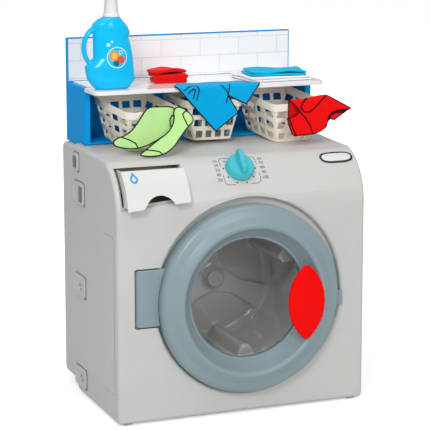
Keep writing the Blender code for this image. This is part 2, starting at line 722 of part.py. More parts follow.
def door_ring():
    """The door's front moulding: a deep round ring with a crest and a funnel down to the window."""
    slope_foot = (CREST_RADIUS + CREST_SLOPE, CREST_PROUD - CREST_FALL)
    outer = [(DOOR_RADIUS, -DOOR_BACK_Y), (DOOR_RADIUS, SHOULDER_Y)]
    outer += arc((DOOR_RADIUS - DOOR_SHOULDER, SHOULDER_Y), DOOR_SHOULDER, 20, 70, 2)
    outer += [slope_foot] + crest()
    inner = [(WINDOW_RADIUS + SKIN, -WINDOW_SEAT_Y), (WINDOW_RADIUS + WINDOW_LIP + SKIN, LIP_PROUD / 2)]
    inner += [(CREST_RADIUS - SKIN / 3, CREST_PROUD - CREST_ROUND - SKIN),
              (slope_foot[0], slope_foot[1] - SKIN), (DOOR_RADIUS - 2 * SKIN, SHOULDER_Y + SKIN),
              (DOOR_RADIUS - SKIN, SHOULDER_Y - SKIN),
              (DOOR_RADIUS - SKIN, -DOOR_BACK_Y)]
    return turned("door_ring", outer + inner, DOOR_STEPS, SLATE, DOOR_CENTRE, closed=True)


def door_back():
    """The flat ring that closes the door from behind and clamps the window."""
    front = -(WINDOW_SEAT_Y + WINDOW_THICKNESS + CLAMP_CLEARANCE + GAP)
    return ring("door_back", WINDOW_RADIUS - LIP_PROUD / 2, DOOR_RADIUS - SKIN - GAP, -DOOR_BACK_Y, front,
                DOOR_STEPS, SLATE, DOOR_CENTRE)


def window():
    """The clear window: a shallow dome with a flat rim held between ring and back."""
    seat = -(WINDOW_SEAT_Y + GAP)
    rim = WINDOW_RADIUS + WINDOW_LIP
    flat = WINDOW_RADIUS - LIP_PROUD
    radius = (flat ** 2 + WINDOW_RISE ** 2) / (2 * WINDOW_RISE)
    half = math.degrees(math.asin(flat / radius))
    middle = (0.0, seat + WINDOW_RISE - radius)
    profile = arc(middle, radius - WINDOW_THICKNESS, 90, 90 - half, 4)
    profile += [(rim, seat - WINDOW_THICKNESS), (rim, seat)]
    profile += arc(middle, radius, 90 - half, 90, 4)
    return turned("window", profile, WINDOW_STEPS, CLEAR, DOOR_CENTRE)


def handle():
    """The red pull: a leaf-shaped bridge from the crest over the edge of the window."""
    centre_x = DOOR_X + CREST_RADIUS - HANDLE_WIDTH / 2 + HANDLE_TIP / 4
    centre_z = DOOR_Z - HANDLE_DROP
    half = HANDLE_HEIGHT / 2
    swell = HANDLE_WIDTH / 2 - HANDLE_TIP
    bow = (half ** 2 + swell ** 2) / (2 * swell)
    spread = math.degrees(math.asin(half / bow))
    leaf = arc((centre_x + HANDLE_WIDTH / 2 - bow, centre_z), bow, -spread, spread, 8)
    leaf += arc((centre_x - HANDLE_WIDTH / 2 + bow, centre_z), bow, 180 - spread, 180 + spread, 8)
    body = place("handle", front_outline("handle", leaf, -HANDLE_PROUD, -HANDLE_PROUD + HANDLE_THICKNESS), RED)
    round_off(body, HANDLE_ROUND)
    post_low = (centre_x + POST_INSET, -HANDLE_PROUD + HANDLE_THICKNESS / 2, centre_z - POST_HEIGHT / 2)
    post_high = (centre_x + POST_INSET + POST_WIDTH, 0.0, centre_z + POST_HEIGHT / 2)
    join(body, place("handle_post", block("handle_post", post_low, post_high, HANDLE_ROUND, 1)))
    beyond = -2 * DOOR_BACK_Y
    foot_height = CREST_PROUD - CREST_FALL + GAP
    guard = [(DOOR_RADIUS, foot_height), (CREST_RADIUS + CREST_SLOPE, foot_height)]
    guard += [(radius - 1.5 * GAP, height + GAP) for radius, height in crest()]
    guard += [(WINDOW_RADIUS - 1.5 * GAP, beyond), (DOOR_RADIUS, beyond)]
    cut(body, turned("handle_clearance", guard, DOOR_STEPS, None, DOOR_CENTRE, closed=True))
    return body


def ring_space(name):
    """The door ring's own space with a gap round it, to cut what is fitted to the ring."""
    return rod(name, DOOR_RADIUS + GAP, -DOOR_BACK_Y - GAP, CREST_PROUD, DOOR_STEPS, None, DOOR_CENTRE)


def hinge_arm():
    """The hinge plate: a block round the pin at its left, a tongue behind the ring at its right."""
    seat = DOOR_BACK_Y + GAP
    plate = block("hinge_arm", (PIN_X, PIN_Y - BARREL_RADIUS, ARM_LOW_Z),
                  (DOOR_X - DOOR_RADIUS + TONGUE_REACH - TONGUE_CLEARANCE, seat + TONGUE_THICKNESS, ARM_HIGH_Z))
    arm = place("hinge_arm", plate, SLATE)
    join(arm, rod("hinge_barrel", BARREL_RADIUS, ARM_LOW_Z, ARM_HIGH_Z, SMALL_STEPS, None, PIN_PLACE, 0.0))
    cut(arm, ring_space("ring_space"))
    cut(arm, rod("arm_bore", PIN_RADIUS + PIN_CLEARANCE, ARM_LOW_Z - EAR, ARM_HIGH_Z + EAR, PIN_STEPS, None,
                 PIN_PLACE, 0.0))
    return arm


def hinge_pin():
    """The steel pin, its ends in the ears above and below the pocket."""
    reach = EAR - EAR_SKIN - GAP
    return rod("hinge_pin", PIN_RADIUS, POCKET_LOW_Z - reach, POCKET_HIGH_Z + reach, PIN_STEPS, STEEL,
               PIN_PLACE, 0.0)


def latch_tab():
    """The catch on the door's free edge."""
    edge = DOOR_X + DOOR_RADIUS
    high = DOOR_Z - LATCH_DROP
    tab = block("latch_tab", (edge - LATCH_PROUD, -LATCH_DEPTH / 2, high - LATCH_HEIGHT),
                (edge + LATCH_PROUD, LATCH_DEPTH / 2, high), LATCH_PROUD / 6, 1)
    latch = place("latch_tab", tab, SLATE)
    cut(latch, ring_space("latch_space"))
    return latch


def about_axle(turn, depth):
    """A place on the drum's axle, its X axis turned about the axle."""
    return (Matrix.Translation((DOOR_X, depth, DOOR_Z)) @ Matrix.Rotation(math.pi / 2, 4, "X")
            @ Matrix.Rotation(turn, 4, "Z"))


def drum():
    """The drum: an open cup with a dished back, a raised three-armed spider and three lifting paddles."""
    back = -DRUM_BACK_Y
    hub = -DRUM_HUB_Y
    axle_bore = AXLE_RADIUS + RUNNING_GAP + BUSH_WALL + GAP
    inside = DRUM_RADIUS - DRUM_WALL
    profile = [(DRUM_RADIUS, -DRUM_FRONT_Y), (DRUM_RADIUS, back + DRUM_HEEL), (DRUM_RADIUS - DRUM_HEEL, back),
               (axle_bore, back), (axle_bore, hub), (HUB_RADIUS + GAP, hub),
               (HUB_RADIUS + DRUM_HEEL, hub - DRUM_HEEL), (inside - DRUM_HEEL, back + DRUM_WALL),
               (inside, back + DRUM_HEEL + DRUM_WALL), (inside, -DRUM_FRONT_Y - DRUM_WALL),
               (inside - DRUM_WALL / 2, -DRUM_FRONT_Y)]
    body = turned("drum", profile, DOOR_STEPS, DRUM_GREY, DOOR_CENTRE, closed=True)
    reach = DRUM_RADIUS - DRUM_WALL
    arm_outline = [(ARM_ROOT, -0.020), (ARM_WAIST, -0.014), (reach, -0.024),
                   (reach, 0.024), (ARM_WAIST, 0.014), (ARM_ROOT, 0.020)]
    arm_mesh = outline("spider_arm", arm_outline, ARM_THICKNESS)
    for index in range(ARM_COUNT):
        arm = place("spider_arm_%d" % index, arm_mesh)
        turn = math.radians(95 + 360 / ARM_COUNT * index)
        arm.matrix_local = about_axle(turn, DRUM_BACK_Y - ARM_THICKNESS / 2 - GAP)
        join(body, arm)
    rise = DRUM_RADIUS - PADDLE_HEIGHT
    foot = DRUM_RADIUS - DRUM_WALL / 2
    half = PADDLE_CREST / 2
    paddle_outline = [(foot, -PADDLE_WIDTH / 2), (foot, PADDLE_WIDTH / 2), (rise + DRUM_WALL, half),
                      (rise, half / 2), (rise, -half / 2), (rise + DRUM_WALL, -half)]
    length = DRUM_BACK_Y - DRUM_FRONT_Y - DRUM_HEEL
    paddle_mesh = outline("paddle", paddle_outline, length)
    for index in range(PADDLE_COUNT):
        paddle = place("paddle_%d" % index, paddle_mesh)
        paddle.matrix_local = about_axle(math.radians(35 + 360 / PADDLE_COUNT * index),
                                         DRUM_BACK_Y - DRUM_WALL / 2 - length / 2)
        join(body, paddle)
    cut(body, ring("drum_trim", DRUM_RADIUS, DRUM_RADIUS + TUB_CLEARANCE, back - DRUM_HEEL,
                   -DRUM_FRONT_Y + DRUM_HEEL, DOOR_STEPS, None, DOOR_CENTRE))
    return body


def axle_set():
    """The fixed axle in the tub's back, its bush in the drum, its nut and the cap over its front end."""
    inner = AXLE_RADIUS + RUNNING_GAP
    front = -DRUM_HUB_Y
    ring("axle_bush", inner, inner + BUSH_WALL, -DRUM_BACK_Y, front, SMALL_STEPS, NYLON, DOOR_CENTRE)
    rod("drum_axle", AXLE_RADIUS, -TUB_BACK_Y - AXLE_END, front, SMALL_STEPS, STEEL, DOOR_CENTRE)
    nut_bore = (AXLE_RADIUS + GAP / 2) / math.cos(math.pi / 6)
    nut_top = -TUB_BACK_Y - GAP
    ring("axle_nut", nut_bore, NUT_RADIUS, nut_top - NUT_THICKNESS, nut_top, 6, STEEL, DOOR_CENTRE)
    low = front + GAP
    high = low + HUB_CAP_THICKNESS
    edge = HUB_CAP_THICKNESS / 3
    turned("hub_cap", [(0.0, low), (HUB_RADIUS, low), (HUB_RADIUS, high - edge), (HUB_RADIUS - edge, high),
                       (0.0, high)], SMALL_STEPS, NYLON, DOOR_CENTRE)


def tub():
    """The fixed tub round the drum: a cup with a flange against the front moulding and a boss for the axle."""
    inside = DRUM_RADIUS + TUB_CLEARANCE
    outside = inside + TUB_WALL
    front = -(RECESS_DEPTH + WALL + GAP)
    back = -TUB_BACK_Y
    flange = outside + TUB_FLANGE
    boss_top = -DRUM_BACK_Y - TUB_WALL
    profile = [(inside, front), (flange, front), (flange, front - TUB_FLANGE_THICKNESS),
               (outside, front - TUB_FLANGE_THICKNESS), (outside, back + DRUM_HEEL), (outside - DRUM_HEEL, back),
               (AXLE_RADIUS + GAP, back), (AXLE_RADIUS + GAP, boss_top), (TUB_BOSS, boss_top),
               (TUB_BOSS + TUB_WALL, back + TUB_WALL), (inside - DRUM_HEEL, back + TUB_WALL),
               (inside, back + DRUM_HEEL + TUB_WALL)]
    return turned("tub", profile, TUB_STEPS, DRUM_GREY, DOOR_CENTRE, closed=True)


def knob():
    """The turquoise knob: a low round cap with a tall pointer grip across it."""
    profile = [(0.0, GAP), (KNOB_RADIUS, GAP), (KNOB_RADIUS, GAP + KNOB_FOOT),
               (KNOB_TOP_RADIUS, KNOB_HEIGHT - KNOB_EDGE), (KNOB_TOP_RADIUS - KNOB_EDGE, KNOB_HEIGHT),
               (0.0, KNOB_HEIGHT)]
    cap = turned("knob", profile, TUB_STEPS, TURQUOISE, DIAL_CENTRE, DIAL_TILT)
    tail = -KNOB_TOP_RADIUS
    nose = KNOB_TOP_RADIUS + KNOB_EDGE
    side = [(tail + KNOB_EDGE, GRIP_ROOT), (nose, GRIP_ROOT), (nose, GRIP_HEIGHT - 0.005),
            (nose - 0.005, GRIP_HEIGHT), (tail + 0.008, GRIP_HEIGHT - 0.003),
            (tail + 0.003, GRIP_HEIGHT - 0.009)]
    grip = place("knob_grip", outline("knob_grip", side, GRIP_WIDTH))
    round_off(grip, GRIP_WIDTH / 4)
    grip.matrix_local = DIAL_FRAME @ ACROSS.to_4x4()
    join(cap, grip)
    return cap


def click_set():
    """The knob's shaft with its click wheel behind the panel, and the steel leaf that clicks on the wheel."""
    wheel_top = DIAL_WALL - GAP
    wheel_low = wheel_top - CLICK_WHEEL_THICKNESS
    rod("knob_shaft", SHAFT_RADIUS, wheel_low - SHAFT_END, 0.0, PIN_STEPS, TURQUOISE, DIAL_CENTRE, DIAL_TILT)
    teeth = []
    for step in range(DIAL_STEPS * 2):
        radius = CLICK_WHEEL_RADIUS - CLICK_DEPTH * ((step + 1) % 2)
        turn = math.pi * (step + 0.5) / DIAL_STEPS
        teeth.append((radius * math.cos(turn), radius * math.sin(turn)))
    wheel = place("click_wheel", outline("click_wheel", teeth, CLICK_WHEEL_THICKNESS), NYLON)
    wheel_place = DIAL_FRAME @ Matrix.Translation((0, 0, (wheel_top + wheel_low) / 2))
    wheel.matrix_local = wheel_place
    bore = place("wheel_bore", disc("wheel_bore", SHAFT_RADIUS + GAP, 2 * CLICK_WHEEL_RADIUS, PIN_STEPS))
    bore.matrix_local = DIAL_FRAME @ Matrix.Translation((0, 0, wheel_low))
    cut(wheel, bore)
    near = CLICK_WHEEL_RADIUS + 3 * GAP
    far = near + 2 * LEAF_BULGE
    peak = near + LEAF_BULGE
    wall = LEAF_THICKNESS
    leaf = [(near, -0.012), (near, 0.010), (peak, 0.015), (far, 0.010), (far, -0.006), (far - wall, -0.006),
            (far - wall, 0.0095), (peak, 0.0138), (near + wall, 0.0095), (near + wall, -0.012)]
    spring = place("click_spring", outline("click_spring", leaf, CLICK_WHEEL_THICKNESS - GAP), STEEL)
    spring.matrix_local = wheel_place


def drawer_front():
    """The drawer's curved front with its two side returns and the finger notch in its lower edge."""
    low = DRAWER_BOTTOM_Z
    high = DRAWER_TOP_Z
    face = panel_arc(PANEL_RADIUS, low, high, 10)
    box = face + list(reversed(panel_arc(PANEL_RADIUS, low, high, 10, DRAWER_RETURN)))
    front = place("drawer_front", side_outline("drawer_front", box, DRAWER_LEFT, DRAWER_RIGHT), WHITE)
    behind = panel_arc(PANEL_RADIUS - DRAWER_THICKNESS, low - DRAWER_LAP, high + DRAWER_LAP, 12)
    behind += [(2 * PANEL_RADIUS, high + DRAWER_LAP), (2 * PANEL_RADIUS, low - DRAWER_LAP)]
    cut(front, place("drawer_behind", side_outline("drawer_behind", behind, DRAWER_LEFT + RETURN_WALL,
                                                   DRAWER_RIGHT - RETURN_WALL)))
    cut(front, drawer_slant("face_slant", low, -PANEL_RADIUS, PANEL_RADIUS))
    lap = drawer_slant("return_slant", MOUTH_LOW_Z + DRAWER_SLIT, -PANEL_RADIUS, PANEL_RADIUS)
    lap_band = panel_arc(PANEL_RADIUS - DRAWER_THICKNESS, low - DRAWER_LAP, low + 3 * DRAWER_SLANT)
    lap_band += [(PANEL_RADIUS, low + 3 * DRAWER_SLANT), (PANEL_RADIUS, low - DRAWER_LAP)]
    returns_only = place("returns_only", side_outline("returns_only", lap_band, -FAR, FAR))
    keep_below = lap.modifiers.new("behind the face", "BOOLEAN")
    keep_below.operation = "INTERSECT"
    keep_below.object = returns_only
    cut(front, lap)
    centre = (NOTCH_X, DRAWER_BOTTOM_Z + NOTCH_RISE - NOTCH_RADIUS)
    notch = [(x, z) for x, z in arc(centre, NOTCH_RADIUS, 0, 180, 14) if z > low + DRAWER_SLANT / 2]
    right, left = notch[0], notch[-1]
    notch += [(left[0] - NOTCH_FOOT, left[1] - NOTCH_FOOT), (left[0] - NOTCH_FOOT, low - NOTCH_RISE),
              (right[0] + NOTCH_FOOT, low - NOTCH_RISE), (right[0] + NOTCH_FOOT, right[1] - NOTCH_FOOT)]
    cut(front, place("drawer_notch", front_outline("drawer_notch", notch, -PANEL_RADIUS, PANEL_RADIUS)))
    front.location.y = -DRAWER_OPEN
    for name in ("drawer_behind", "face_slant", "return_slant", "returns_only", "drawer_notch"):
        bpy.data.objects[name].location.y = -DRAWER_OPEN
    return front


TRAY_BACK_Y = panel_y(DRAWER_BOTTOM_Z) + TRAY_LENGTH


def drawer_tray():
    """The open tray behind the drawer's front, its front wall curved with it."""
    left = DRAWER_LEFT + RETURN_WALL + TRAY_CLEARANCE
    right = DRAWER_RIGHT - RETURN_WALL - TRAY_CLEARANCE
    box = block("drawer_tray", (left, 0.0, TRAY_LOW_Z), (right, TRAY_BACK_Y, TRAY_HIGH_Z))
    tray = place("drawer_tray", box, NYLON)
    inner = PANEL_RADIUS - DRAWER_THICKNESS - GAP
    ahead = panel_arc(inner, TRAY_LOW_Z - TRAY_WALL, TRAY_HIGH_Z + TRAY_WALL)
    ahead += [(-PANEL_RADIUS, TRAY_HIGH_Z + TRAY_WALL), (-PANEL_RADIUS, TRAY_LOW_Z - TRAY_WALL)]
    front_space = place("tray_front_space", side_outline("tray_front_space", ahead, -FAR, 0.0))
    floor_z = TRAY_LOW_Z + TRAY_WALL
    over = TRAY_HIGH_Z + TRAY_WALL
    hollow = panel_arc(inner - TRAY_WALL, floor_z, over)
    hollow += [(TRAY_BACK_Y - TRAY_WALL, over), (TRAY_BACK_Y - TRAY_WALL, floor_z)]
    space = place("tray_hollow", side_outline("tray_hollow", hollow, left + TRAY_WALL, right - TRAY_WALL))
    cut(tray, front_space)
    cut(tray, space)
    for item in (tray, front_space, space):
        item.location.y = -DRAWER_OPEN
    return tray


def drawer_sleeve():
    """The fixed sleeve that the drawer runs in, with a rail on each side under the tray."""
    end = TRAY_BACK_Y + SLEEVE_END
    low = MOUTH_LOW_Z
    high = MOUTH_HIGH_Z
    outside = block("drawer_sleeve", (MOUTH_LEFT - TRAY_WALL, 0.0, low - TRAY_WALL),
                    (MOUTH_RIGHT + TRAY_WALL, end + TRAY_WALL, high + TRAY_WALL))
    sleeve = place("drawer_sleeve", outside, NYLON)
    bore = block("sleeve_bore", (MOUTH_LEFT, -PANEL_RADIUS, low), (MOUTH_RIGHT, end, high))
    cut(sleeve, place("sleeve_bore", bore))
    radius = PANEL_RADIUS - DRAWER_THICKNESS - 2 * GAP - WALL
    ahead = panel_arc(radius, low - 2 * TRAY_WALL, high + 2 * TRAY_WALL)
    ahead += [(-PANEL_RADIUS, high + 2 * TRAY_WALL), (-PANEL_RADIUS, low - 2 * TRAY_WALL)]
    cut(sleeve, place("sleeve_space", side_outline("sleeve_space", ahead, -FAR, 0.0)))
    rail_top = TRAY_LOW_Z - GAP
    overlap = TRAY_WALL / 2
    inner_left = DRAWER_LEFT + RETURN_WALL + RAIL_WIDTH
    inner_right = DRAWER_RIGHT - RETURN_WALL - RAIL_WIDTH
    for name, x_low, x_high in (("rail_left", MOUTH_LEFT - overlap, inner_left),
                                ("rail_right", inner_right, MOUTH_RIGHT + overlap)):
        rail = block(name, (x_low, RAIL_START_Y, rail_top - RAIL_WIDTH), (x_high, RAIL_END_Y, rail_top))
        join(sleeve, place(name, rail))
    return sleeve


def shelf_unit():
    """The blue unit: back panel with a thin border, two side walls, floor and shelf ledges in one moulding."""
    bottom = TOP_SEAM_Z + GAP
    rear_bottom = REAR_TOP_Z + GAP
    rear_from = SEAM_Y + GAP
    sunk = SPLASH_THICKNESS / 8
    unit = place("shelf_unit", block("shelf_unit", (-UNIT_HALF_WIDTH, SPLASH_FRONT_Y, rear_bottom),
                                     (UNIT_HALF_WIDTH, DEPTH, SPLASH_TOP_Z)), BLUE)
    foot = [(UNIT_FRONT_Y, bottom), (rear_from, bottom), (rear_from, rear_bottom), (DEPTH - sunk, rear_bottom)]
    wall_top = SHELF_TOP_Z - SHELF_OVER_WALLS
    ledge_top = SHELF_TOP_Z - SHELF_THICKNESS - GAP
    ledge_front = UNIT_FRONT_Y + LEDGE / 2
    for side, sign in (("left", -1), ("right", 1)):
        low, high = sorted((sign * UNIT_HALF_WIDTH, sign * UNIT_INNER))
        wall = side_outline("unit_wall", foot + [(DEPTH - sunk, wall_top), (UNIT_FRONT_Y, wall_top)], low, high)
        join(unit, place("unit_wall_" + side, wall))
        low, high = sorted((sign * (UNIT_INNER + sunk), sign * (UNIT_INNER - LEDGE)))
        ledge = block("unit_ledge", (low, ledge_front, ledge_top - LEDGE_THICKNESS),
                      (high, SPLASH_FRONT_Y + sunk, ledge_top))
        join(unit, place("unit_ledge_" + side, ledge))
    floor_points = foot + [(DEPTH - sunk, UNIT_FLOOR_TOP), (UNIT_FRONT_Y, UNIT_FLOOR_TOP)]
    floor_board = side_outline("unit_floor", floor_points, -UNIT_INNER - sunk, UNIT_INNER + sunk)
    join(unit, place("unit_floor", floor_board))
    half = UNIT_HALF_WIDTH - SPLASH_RIM
    inset = block("tile_inset", (-half, SPLASH_FRONT_Y - SPLASH_THICKNESS, SHELF_TOP_Z + GAP),
                  (half, SPLASH_FRONT_Y + TILE_THICKNESS + GAP, SPLASH_TOP_Z - SPLASH_RIM))
    cut(unit, place("tile_inset", inset))
    return unit


def tile_panel():
    """The white panel that fills the unit's back above the shelf."""
    half = UNIT_HALF_WIDTH - SPLASH_RIM - GAP
    panel = block("tile_panel", (-half, SPLASH_FRONT_Y, SHELF_TOP_Z + 2 * GAP),
                  (half, SPLASH_FRONT_Y + TILE_THICKNESS, SPLASH_TOP_Z - SPLASH_RIM - GAP))
    return place("tile_panel", panel, SHELF_WHITE)


def shelf():
    """The white shelf: it lies between the unit's walls and widens in front of them, with rounded corners."""
    back = SPLASH_FRONT_Y - GAP
    step_y = UNIT_FRONT_Y - GAP
    half = [(UNIT_INNER - GAP, back), (UNIT_INNER - GAP, step_y), (UNIT_HALF_WIDTH, step_y)]
    corner = (UNIT_HALF_WIDTH - SHELF_CORNER, SHELF_FRONT_Y + SHELF_CORNER)
    half += reversed(arc(corner, SHELF_CORNER, 270, 360, 5))
    points = half + [(-x, y) for x, y in reversed(half)]
    flat = plan_outline("shelf", points, SHELF_TOP_Z - SHELF_THICKNESS, SHELF_TOP_Z)
    board = place("shelf", flat, SHELF_WHITE)
    round_off(board, SHELF_EDGE)
    board.modifiers["round"].angle_limit = math.radians(60)
    return board


def rounded_rectangle(half_width, half_length, corner, count=2):
    """Points of a rectangle with round corners, counter-clockwise from the front right."""
    points = []
    for sign_x, sign_y, start in ((1, -1, 270), (1, 1, 0), (-1, 1, 90), (-1, -1, 180)):
        centre = (sign_x * (half_width - corner), sign_y * (half_length - corner))
        points += arc(centre, corner, start, start + 90, count)
    return points


def basket_mesh():
    """An open tapered tub with round corners and a stepped rim, before its wall is thickened."""
    shape = bmesh.new()
    wall_top = BASKET_HEIGHT - BASKET_RIM
    levels = [(0.0, 0.0), (wall_top, BASKET_FLARE), (wall_top, BASKET_FLARE + BASKET_RIM_PROUD),
              (BASKET_HEIGHT, BASKET_SPREAD)]
    rings = []
    for height, spread in levels:
        points = rounded_rectangle(BASKET_WIDTH / 2 + spread, BASKET_LENGTH / 2 + spread, BASKET_CORNER)
        rings.append([shape.verts.new((x, y, height)) for x, y in points])
    shape.faces.new(list(reversed(rings[0])))
    for lower, upper in zip(rings, rings[1:]):
        for i in range(len(lower)):
            j = (i + 1) % len(lower)
            shape.faces.new((lower[i], lower[j], upper[j], upper[i]))
    mesh = bpy.data.meshes.new("basket")
    shape.to_mesh(mesh)
    shape.free()
    return mesh


def hole_mesh(name, width, reach, along_x):
    """Bars that punch the rows of holes: each row's columns share its width between posts and bars."""
    shape = bmesh.new()
    for row in range(HOLE_ROWS):
        low = HOLE_LOW + HOLE_PITCH * row
        middle = low + HOLE_HEIGHT / 2
        spread = BASKET_FLARE * middle / (BASKET_HEIGHT - BASKET_RIM)
        field = width + 2 * spread - 2 * HOLE_POST
        hole = (field - (HOLE_COLUMNS - 1) * HOLE_BAR) / HOLE_COLUMNS
        for column in range(HOLE_COLUMNS):
            across = -field / 2 + hole / 2 + column * (hole + HOLE_BAR)
            made = bmesh.ops.create_cube(shape, size=1.0)["verts"]
            size = (2 * reach, hole, HOLE_HEIGHT) if along_x else (hole, 2 * reach, HOLE_HEIGHT)
            centre = (0, across, middle) if along_x else (across, 0, middle)
            bmesh.ops.scale(shape, vec=size, verts=made)
            bmesh.ops.translate(shape, vec=centre, verts=made)
    return finished(shape, name)


def basket(name, place_of, turn, tilt):
    """A basket that stands with the middle of its front edge at a place, turned and tilted about it."""
    item = place(name, basket_mesh(), CREAM)
    thicken(item, BASKET_WALL)
    stand = (Matrix.Translation(place_of) @ Matrix.Rotation(turn, 4, "Z") @ Matrix.Rotation(tilt, 4, "X")
             @ Matrix.Translation((0, BASKET_LENGTH / 2, 0)))
    item.matrix_local = stand
    for kind, width, along_x in (("ends", BASKET_WIDTH, False), ("sides", BASKET_LENGTH, True)):
        punch = place(name + "_" + kind, hole_mesh(name + "_" + kind, width, BASKET_LENGTH, along_x))
        punch.matrix_local = stand
        cut(item, punch)
    return item


BASKET_FRONT_Y = UNIT_FRONT_Y - BASKET_OUT
BASKET_FRONT_Z = top_z(BASKET_FRONT_Y) + 2 * GAP
BASKET_TILT = math.atan2(UNIT_FLOOR_TOP + GAP - BASKET_FRONT_Z, BASKET_OUT)


def baskets():
    """Left and right baskets stand part way out and tilt on the unit's front edge; the middle one is level."""
    basket("basket_left", (BASKET_LEFT_X, BASKET_FRONT_Y, BASKET_FRONT_Z), math.radians(5.0), BASKET_TILT)
    basket("basket_right", (BASKET_RIGHT_X, BASKET_FRONT_Y, BASKET_FRONT_Z), math.radians(4.7), BASKET_TILT)
    basket("basket_middle", (BASKET_MIDDLE_X, UNIT_FRONT_Y - BASKET_MIDDLE_OUT, UNIT_FLOOR_TOP + GAP),
           math.radians(-2.4), 0.0)


def bottle():
    """The detergent bottle: an oval body with a ledge at its foot, a notch under its grip and a side handle."""
    base = Vector((BOTTLE_X, BOTTLE_Y, SHELF_TOP_Z + GAP))
    sections = [(0.0000, -0.0280, 0.0280, 0.0165), (0.0020, -0.0315, 0.0320, 0.0180),
                (0.0130, -0.0402, 0.0418, 0.0205), (0.0175, -0.0425, 0.0424, 0.0210),
                (0.0225, -0.0440, 0.0400, 0.0207), (0.0375, -0.0465, 0.0397, 0.0207),
                (0.0410, -0.0425, 0.0393, 0.0205), (0.0470, -0.0360, 0.0388, 0.0203),
                (0.0520, -0.0312, 0.0384, 0.0200), (0.0720, -0.0312, 0.0344, 0.0190),
                (0.0845, -0.0312, 0.0304, 0.0184), (0.0880, -0.0312, 0.0330, 0.0186),
                (0.0930, -0.0322, 0.0330, 0.0188), (0.1025, -0.0328, 0.0292, 0.0185),
                (0.1085, -0.0315, 0.0245, 0.0178), (0.1150, -0.0232, 0.0185, 0.0162),
                (BOTTLE_HEIGHT, -0.0135, 0.0150, 0.0145)]
    shape = bmesh.new()
    rings = []
    for height, left, right, depth in sections:
        middle = (left + right) / 2
        turns = [2 * math.pi * i / SMALL_STEPS for i in range(SMALL_STEPS)]
        rings.append([shape.verts.new((middle + (right - left) / 2 * math.cos(a), depth * math.sin(a), height))
                      for a in turns])
    shape.faces.new(list(reversed(rings[0])))
    shape.faces.new(rings[-1])
    for lower, upper in zip(rings, rings[1:]):
        for i in range(SMALL_STEPS):
            j = (i + 1) % SMALL_STEPS
            shape.faces.new((lower[i], lower[j], upper[j], upper[i]))
    body = place("bottle", finished(shape, "bottle"), BOTTLE_BLUE)
    body.location = base
    grip_line = [(-0.0270, 0.0, 0.1040), (-0.0405, 0.0, 0.0915), (-0.0462, 0.0, 0.0790), (-0.0469, 0.0, 0.0660),
                 (-0.0442, 0.0, 0.0540), (-0.0370, 0.0, 0.0430), (-0.0270, 0.0, 0.0370)]
    grip = place("bottle_grip", tube("bottle_grip", grip_line, BOTTLE_HANDLE_RADIUS))
    grip.location = base
    grip.scale.y = BOTTLE_HANDLE_DEPTH
    join(body, grip)
    edge = CAP_STEP
    cap = [(0.0, 0.0), (CAP_RADIUS, 0.0), (CAP_RADIUS, CAP_BAND), (CAP_RADIUS - edge, CAP_BAND + edge),
           (CAP_TOP_RADIUS, CAP_HEIGHT - 2 * edge), (CAP_TOP_RADIUS - edge, CAP_HEIGHT), (0.0, CAP_HEIGHT)]
    turned("bottle_cap", cap, SMALL_STEPS, SHELF_WHITE, base + Vector((0.0007, 0, BOTTLE_HEIGHT + GAP)), 0.0)


def flat_cloth(name, points, base, lean, thickness, finish):
    """A flat cloth shape of (across, up) points, leaning back from its base line."""
    item = place(name, outline(name, points, thickness), finish)
    item.matrix_local = Matrix.Translation(base) @ Matrix.Rotation(math.pi / 2 - lean, 4, "X")
    return item


SOCK_INNER_Y = BASKET_FRONT_Y - 0.037
SOCK_OUTER_Y = BASKET_FRONT_Y - 0.063


def socks():
    """Two felt socks that stand on the body's top and lean back on the left basket."""
    inner = [(-0.0758, 0.012), (-0.0678, 0.0015), (-0.0478, 0.0010), (-0.0328, 0.0035), (-0.0123, 0.010),
             (0.0147, 0.022), (0.0259, 0.032), (0.0452, 0.052), (0.0427, 0.066), (0.0312, 0.0735),
             (-0.0114, 0.0745), (-0.0205, 0.064), (-0.0396, 0.042), (-0.0599, 0.024), (-0.0738, 0.021)]
    base = (BASKET_LEFT_X, SOCK_INNER_Y, top_z(SOCK_INNER_Y) - GAP)
    flat_cloth("sock_inner", inner, base, math.radians(9.6), FELT, GREEN_CLOTH)
    outer = [(-0.0425, 0.0050), (-0.0298, 0.0010), (0.0002, 0.0008), (0.0082, 0.0030), (0.0235, 0.016),
             (0.0496, 0.0455), (0.0644, 0.0602), (0.0647, 0.0724), (0.0530, 0.0765),
             (0.0192, 0.052), (-0.0088, 0.026), (-0.0308, 0.014), (-0.0408, 0.012)]
    base = (BASKET_LEFT_X, SOCK_OUTER_Y, top_z(SOCK_OUTER_Y) + GAP)
    flat_cloth("sock_outer", outer, base, math.radians(24.0), FELT, GREEN_CLOTH)


def shorts():
    """Felt shorts that hang over the shelf's front edge above the middle basket, their waist on the shelf."""
    front_y = SHELF_FRONT_Y - SHORTS_CLEARANCE - SHORTS_THICKNESS / 2
    rest = SHELF_TOP_Z + GAP
    legs = [(-0.0690, 0.0), (-0.0391, -0.035), (-0.0011, -0.078), (0.0397, -0.046),
            (0.0199, -0.018), (0.0555, -0.034), (0.0820, -0.006), (0.0820, 0.0)]
    base = (BASKET_MIDDLE_X, front_y, rest + SHORTS_THICKNESS / 2)
    hung = flat_cloth("shorts", legs, base, 0.0, SHORTS_THICKNESS, BLUE_CLOTH)
    edge = front_y - SHORTS_THICKNESS / 2
    waist = [(-0.0690, 0.0), (0.0820, 0.0), (0.0820, 0.0157), (0.0650, 0.0157), (0.0550, 0.0377),
             (-0.0570, 0.0397)]
    waist = [(BASKET_MIDDLE_X + x, edge + y) for x, y in waist]
    join(hung, place("shorts_waist", plan_outline("shorts_waist", waist, rest, rest + SHORTS_THICKNESS)))


